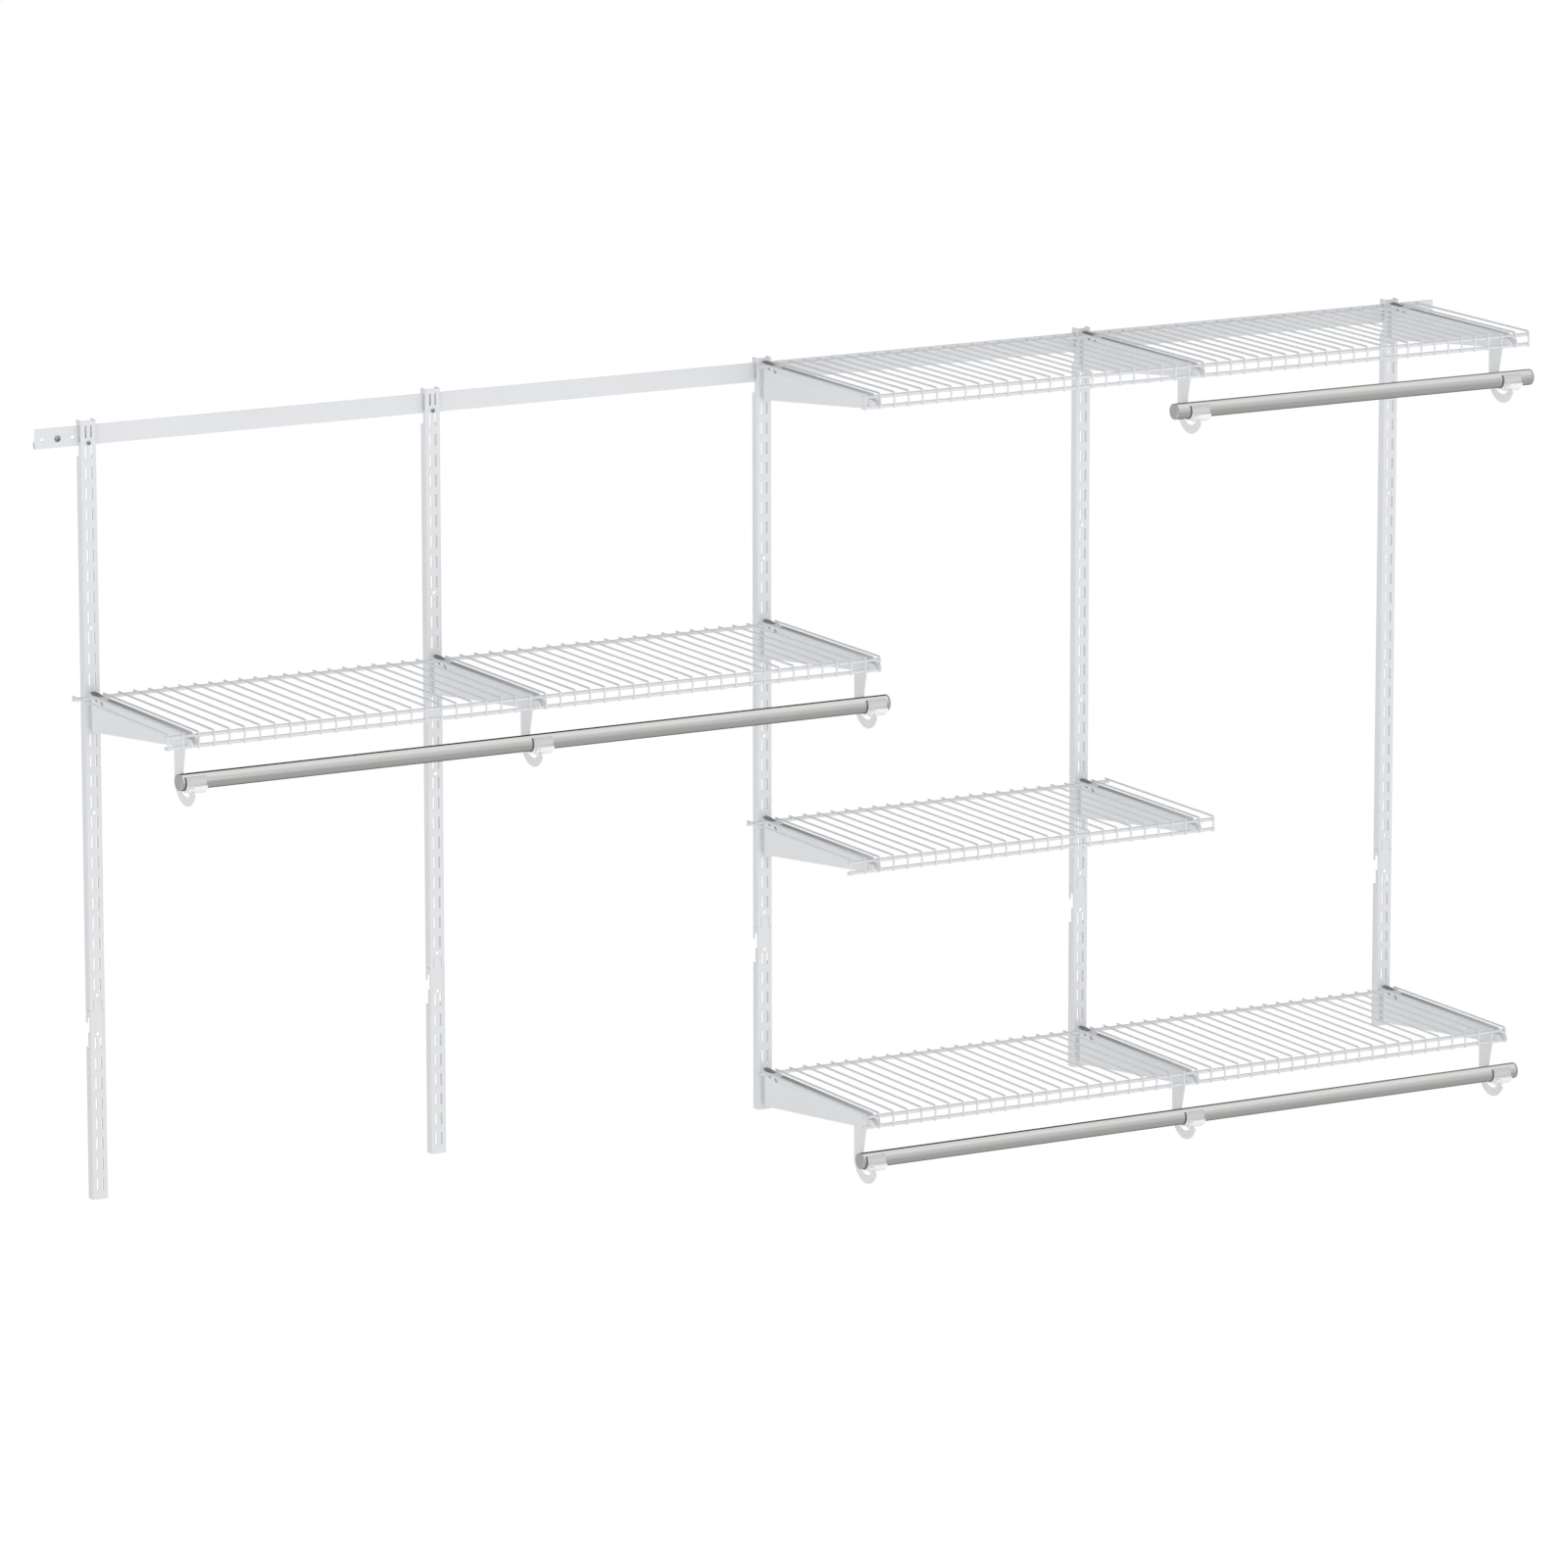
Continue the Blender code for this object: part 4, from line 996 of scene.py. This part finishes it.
class CLOSET_OT_brackets(bpy.types.Operator):
    """Add the shelf brackets"""

    bl_idname = "closet.brackets"
    bl_label = "Add brackets"

    def execute(self, context):
        scene = context.scene
        rod, top = middle("left_rod"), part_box("left_bracket_1")[1][2]
        hook = ((rod[1], rod[2] - top), size_of("left_rod")[2] / 2)
        meshes = (bracket("plain_bracket", None, scene), bracket("hook_bracket", hook, scene))
        for level, number, spot, hooked in bracket_nodes():
            node = f"{level}_bracket_{number}"
            dress(f"{node}_skin", meshes[hooked], "closet_plate", f"{level}_shelf_set", node, spot)
        return {"FINISHED"}


def lock_clip(sizes, shelves, brackets):
    """Lock clip: a rounded block between a bracket's plates, arched over the rod."""
    rod = shelves.rod / 2
    drop = shelves.rise - shelves.wire / 2 - rod + shelves.weld
    arch = arc((-shelves.back_rod, drop), rod + FIT, math.pi, 0, 12)
    side = rounded([
        (-sizes.rear, -sizes.drop), (-sizes.rear, sizes.rear_rise), (-sizes.front, sizes.front_rise),
        (-sizes.front, -sizes.drop),
    ], [0, sizes.edge, sizes.nose, 0], 6)
    side += [(arch[0][0], -sizes.drop)] + arch + [(arch[-1][0], -sizes.drop)]
    half, narrow = sizes.width / 2, sizes.rear_width / 2
    block = prism("lock_side", [side], -half, half, ALONG_X)
    front, bend, full = -sizes.front - OVERRUN, -brackets.joggle_start, -brackets.joggle_end
    plan = [
        (-narrow, 0), (-narrow, bend), (-half, full), (-half, front),
        (half, front), (half, full), (narrow, bend), (narrow, 0),
    ]
    above = prism("lock_plan", [plan], -sizes.drop - OVERRUN, sizes.rear_rise + OVERRUN)
    mesh = combine("lock_clip", block, "INTERSECT", [above])
    return soften("lock_clip", mesh, sizes.edge, 3)


class CLOSET_OT_locks(bpy.types.Operator):
    """Add the lock clips that hold the shelves' back rods in the brackets"""

    bl_idname = "closet.locks"
    bl_label = "Add lock clips"

    def execute(self, context):
        scene = context.scene
        mesh = lock_clip(scene.closet_locks, scene.closet_shelves, scene.closet_brackets)
        for level, number, spot, _ in bracket_nodes():
            node = f"{level}_bracket_{number}"
            dress(f"{node}_lock", mesh, "closet_lock", f"{level}_shelf_set", node, spot)
        return {"FINISHED"}


class CLOSET_OT_saddles(bpy.types.Operator):
    """Add the plastic saddles under the hang rods"""

    bl_idname = "closet.saddles"
    bl_label = "Add saddles"

    def execute(self, context):
        sizes, sheet = context.scene.closet_rods, context.scene.closet_brackets.sheet
        radius, span = size_of("left_rod")[2] / 2, size_of("left_saddle_1")[0]
        pieces = {
            "trough": (self.trough(sizes, radius + BORE_PLAY, span, sheet), "closet_plastic"),
            "front": (self.front(sizes, radius + BORE_PLAY, span), "closet_clip"),
            "seam": (self.seam(sizes, radius), "closet_seam"),
        }
        for level, number, _, hooked in bracket_nodes():
            if hooked:
                node, rod = f"{level}_saddle_{number}", middle(f"{level}_rod")
                spot = (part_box(node)[0][0] - sizes.saddle_shift, rod[1], rod[2])
                for kind, (mesh, look) in pieces.items():
                    dress(f"{node}_{kind}", mesh, look, f"{level}_shelf_set", node, spot)
        return {"FINISHED"}

    def trough(self, sizes, inner, span, sheet):
        """Trough under the rod, with a thin hub in the hook and two ears in its seat."""
        outer, flange, hub = inner + sizes.saddle_wall, inner + sizes.ear_rise, inner + sizes.hub_wall
        profile = [
            (-sizes.hub, inner), (span, inner), (span, outer), (sizes.hub_length, outer),
            (sizes.hub_length, hub), (-sizes.hub, hub),
        ]
        start, end = sizes.lip_angle, math.pi - sizes.lip_angle
        body = swept("saddle", profile, -start, -end, 32)
        profile = rectangle(0, hub - LAP, sizes.saddle_shift + sheet, flange)
        front = swept("ear", profile, -start, -start - sizes.ear_angle, 4)
        back = swept("ear", profile, sizes.ear_angle - end, -end, 4)
        return soften("saddle", combine("saddle", body, "UNION", [front, back]), sizes.saddle_edge, 3)

    def seam(self, sizes, radius):
        """Painted shadow: a dark ring at the saddle's left end, for the shade in the gap round the rod."""
        profile = rectangle(-sizes.hub - sizes.seam_width, radius, -sizes.hub - FIT, radius + sizes.seam)
        return shade(swept("seam", profile, sizes.clip_angle, -math.pi / 2 - sizes.lip_angle, 32))

    def front(self, sizes, inner, span):
        """Thin springy wall in front of the rod, with a rim at each end."""
        wall, left, width = inner + sizes.clip_wall, -sizes.hub, sizes.clip_rim_width
        rim = wall + sizes.clip_rim
        profile = [
            (left, inner), (span, inner), (span, rim), (span - width, rim), (span - width, wall),
            (left + width, wall), (left + width, rim), (left, rim),
        ]
        clip = swept("clip", profile, -sizes.lip_angle, sizes.clip_angle, 16)
        return soften("clip", clip, sizes.clip_edge)


class CLOSET_OT_rods(bpy.types.Operator):
    """Add the hang rods and their end caps"""

    bl_idname = "closet.rods"
    bl_label = "Add hang rods"

    def execute(self, context):
        sizes = context.scene.closet_rods
        for level in LEVELS:
            node = f"{level}_rod"
            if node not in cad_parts:
                continue
            span, _, width = size_of(node)
            radius, edge = width / 2, sizes.wall * TIGHT_SHARE
            inner = radius - sizes.wall
            profile = [
                (edge, radius), (span - edge, radius), (span, radius - edge), (span, inner),
                (0, inner), (0, radius - edge),
            ]
            mesh = turned(node, profile, sizes.sides, closed=True)
            rod = middle(node)
            spot = (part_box(node)[0][0] - sizes.rod_shift, rod[1], rod[2])
            dress(f"{level}_rod_tube", mesh, "closet_nickel", f"{level}_rod_set", node, spot)
            self.caps(level, radius, spot, sizes)
        return {"FINISHED"}

    def caps(self, level, radius, spot, sizes):
        """Round end caps on both ends of one rod."""
        edge, plug = sizes.cap_round, radius - sizes.wall - FIT
        for side in ("left", "right"):
            node = f"{level}_rod_cap_{side}"
            low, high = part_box(node)
            total, dish = high[0] - low[0], sizes.cap_dish
            profile = [(dish, 0), (dish, radius * CAP_DISH_SHARE), (0, radius * CAP_RIM_SHARE)]
            for step in range(7):
                turn = math.pi / 2 * step / 6
                profile.append((edge - edge * math.cos(turn), radius - edge + edge * math.sin(turn)))
            profile += [(sizes.cap, radius), (sizes.cap, plug), (total, plug), (total, 0)]
            mesh = turned(f"{node}_mesh", profile, sizes.sides)
            place = low[0]
            if side == "right":
                mesh.transform(Matrix.Rotation(math.pi, 4, "Z"))
                place = high[0]
            seat = (place - sizes.rod_shift, spot[1], spot[2])
            dress(f"{node}_skin", mesh, "closet_cap", f"{level}_rod_set", node, seat)


def graded(tree, value, stops):
    """Grade a value by stops of (value, result), between -1 and 1."""
    shifted = add_node(tree, "ShaderNodeMath", {0: value, 1: 0.5, 2: 0.5}, operation="MULTIPLY_ADD")
    ramp = add_node(tree, "ShaderNodeValToRGB", {"Fac": shifted.outputs[0]})
    steps = ramp.color_ramp.elements
    for number, (place, result) in enumerate(stops):
        step = steps[number] if number < 2 else steps.new((place + 1) / 2)
        step.position = (place + 1) / 2
        step.color = (result, result, result, 1)
    return ramp.outputs["Color"]


def gloss_colour(tree, way):
    """What metal mirrors: a softbox above, a grey floor, and dark behind, less so to the sides."""
    rise = graded(tree, way.outputs["Z"], (
        (-1.0, 0.46), (-0.35, 0.50), (-0.1, 0.62), (0.35, 0.70), (0.55, 0.80), (0.75, 0.95), (1.0, 0.97),
    ))
    dark = graded(tree, way.outputs["X"], (
        (0.2, 0.7), (0.33, 0.02), (0.44, 0.02), (0.505, 0.08), (0.535, 0.6), (0.6, 0.7),
    ))
    behind = ranged(tree, way.outputs["Y"], 0, 1, 0.42, 0.60, interpolation_type="SMOOTHSTEP")
    return mixed(tree, behind, rise, mixed(tree, 1.0, rise, dark, "MULTIPLY"))


def studio_world(look):
    """White to the camera; a soft studio that is darker overhead to all else."""
    world = bpy.data.worlds.new("studio")
    bpy.context.scene.world = world
    world.use_nodes = True
    tree = world.node_tree
    tree.nodes.clear()
    path = add_node(tree, "ShaderNodeLightPath").outputs
    place = add_node(tree, "ShaderNodeTexCoord").outputs["Generated"]
    way = add_node(tree, "ShaderNodeSeparateXYZ", {0: place})
    fade = ranged(tree, way.outputs["Z"], look.sky, look.sky * look.zenith_share)
    soft, plain, gloss = [
        add_node(tree, "ShaderNodeBackground", {"Color": shown, "Strength": strength}).outputs[0]
        for shown, strength in ((SKY_COLOUR, fade), (WHITE, 1), (gloss_colour(tree, way), 1))
    ]
    inner = chosen(tree, path["Is Glossy Ray"], soft, gloss)
    outer = chosen(tree, path["Is Camera Ray"], inner, plain)
    add_node(tree, "ShaderNodeOutputWorld", {"Surface": outer})


def floor_material(look):
    """Pale floor: white to the camera, see-through to metal and from below."""
    material = bpy.data.materials.new("pale_floor")
    material.use_nodes = True
    tree = material.node_tree
    tree.nodes.clear()
    path = add_node(tree, "ShaderNodeLightPath").outputs
    side = add_node(tree, "ShaderNodeNewGeometry").outputs["Backfacing"]
    glow = ranged(tree, path["Is Camera Ray"], look.floor_glow, 1)
    white = add_node(tree, "ShaderNodeEmission", {"Color": WHITE, "Strength": glow}).outputs[0]
    clear = add_node(tree, "ShaderNodeBsdfTransparent").outputs[0]
    hidden = add_node(tree, "ShaderNodeMath", {0: side, 1: path["Is Glossy Ray"]}, operation="MAXIMUM")
    mix = chosen(tree, hidden.outputs[0], white, clear)
    add_node(tree, "ShaderNodeOutputMaterial", {"Surface": mix})
    return material


class CLOSET_OT_stage(bpy.types.Operator):
    """Add the camera, the floor and the light"""

    bl_idname = "closet.stage"
    bl_label = "Add stage"

    def execute(self, context):
        look = context.scene.closet_stage
        camera = bpy.data.cameras.new("camera")
        camera.lens = look.lens
        camera.sensor_width = 36
        camera.clip_end = 100
        holder = link("camera", camera)
        holder.location = look.camera_place
        holder.rotation_euler = (math.pi / 2 - look.camera_pitch, look.camera_roll, -look.camera_yaw)
        context.scene.camera = holder
        tool = bmesh.new()
        bmesh.ops.create_circle(tool, cap_ends=True, radius=look.floor_radius, segments=96)
        floor = link("floor", close_mesh(tool, "floor"))
        floor.data.materials.append(floor_material(look))
        floor.location = (0, 0, CAD_BOUNDS[0][2] - look.floor_drop)
        lamp = bpy.data.lights.new("key", "AREA")
        lamp.energy = look.key
        lamp.shape = "RECTANGLE"
        lamp.size = look.key_width
        lamp.size_y = look.key_height
        key = link("key", lamp)
        key.location = look.key_place
        key.rotation_euler = (Vector(look.key_aim) - key.location).to_track_quat("-Z", "Y").to_euler()
        studio_world(look)
        context.scene.view_settings.view_transform = "Standard"
        return {"FINISHED"}


class CLOSET_PT_build(bpy.types.Panel):
    """Lists the closet system's pieces and sizes in the sidebar"""

    bl_label = "Closet system"
    bl_idname = "CLOSET_PT_build"
    bl_space_type = "VIEW_3D"
    bl_region_type = "UI"
    bl_category = "Closet"

    def draw(self, context):
        column = self.layout.column(align=True)
        for operator in OPERATORS:
            column.operator(operator.bl_idname)
        for name in GROUPS:
            group = getattr(context.scene, name)
            box = self.layout.box()
            box.label(text=group.bl_rna.description)
            for item in group.bl_rna.properties:
                if item.identifier not in ("rna_type", "name"):
                    box.prop(group, item.identifier)


GROUPS = {
    "closet_columns": ColumnSizes,
    "closet_shelves": ShelfSizes,
    "closet_brackets": BracketSizes,
    "closet_locks": LockSizes,
    "closet_rods": RodSizes,
    "closet_finishes": Finishes,
    "closet_stage": StageLook,
}
OPERATORS = (
    CLOSET_OT_stage,
    CLOSET_OT_rail,
    CLOSET_OT_uprights,
    CLOSET_OT_extensions,
    CLOSET_OT_screws,
    CLOSET_OT_shelves,
    CLOSET_OT_brackets,
    CLOSET_OT_locks,
    CLOSET_OT_saddles,
    CLOSET_OT_rods,
)


def register():
    """Register the classes and hang the property groups on the scene."""
    for name, group in GROUPS.items():
        bpy.utils.register_class(group)
        setattr(bpy.types.Scene, name, PointerProperty(type=group))
    for operator in OPERATORS:
        bpy.utils.register_class(operator)
    bpy.utils.register_class(CLOSET_PT_build)


def unregister():
    """Take the classes and the property groups off again."""
    bpy.utils.unregister_class(CLOSET_PT_build)
    for operator in reversed(OPERATORS):
        bpy.utils.unregister_class(operator)
    for name, group in reversed(GROUPS.items()):
        delattr(bpy.types.Scene, name)
        bpy.utils.unregister_class(group)


def main():
    """Add every piece."""
    register()
    for operator in OPERATORS:
        getattr(bpy.ops.closet, operator.bl_idname.removeprefix("closet."))()


if __name__ == "__main__":
    main()
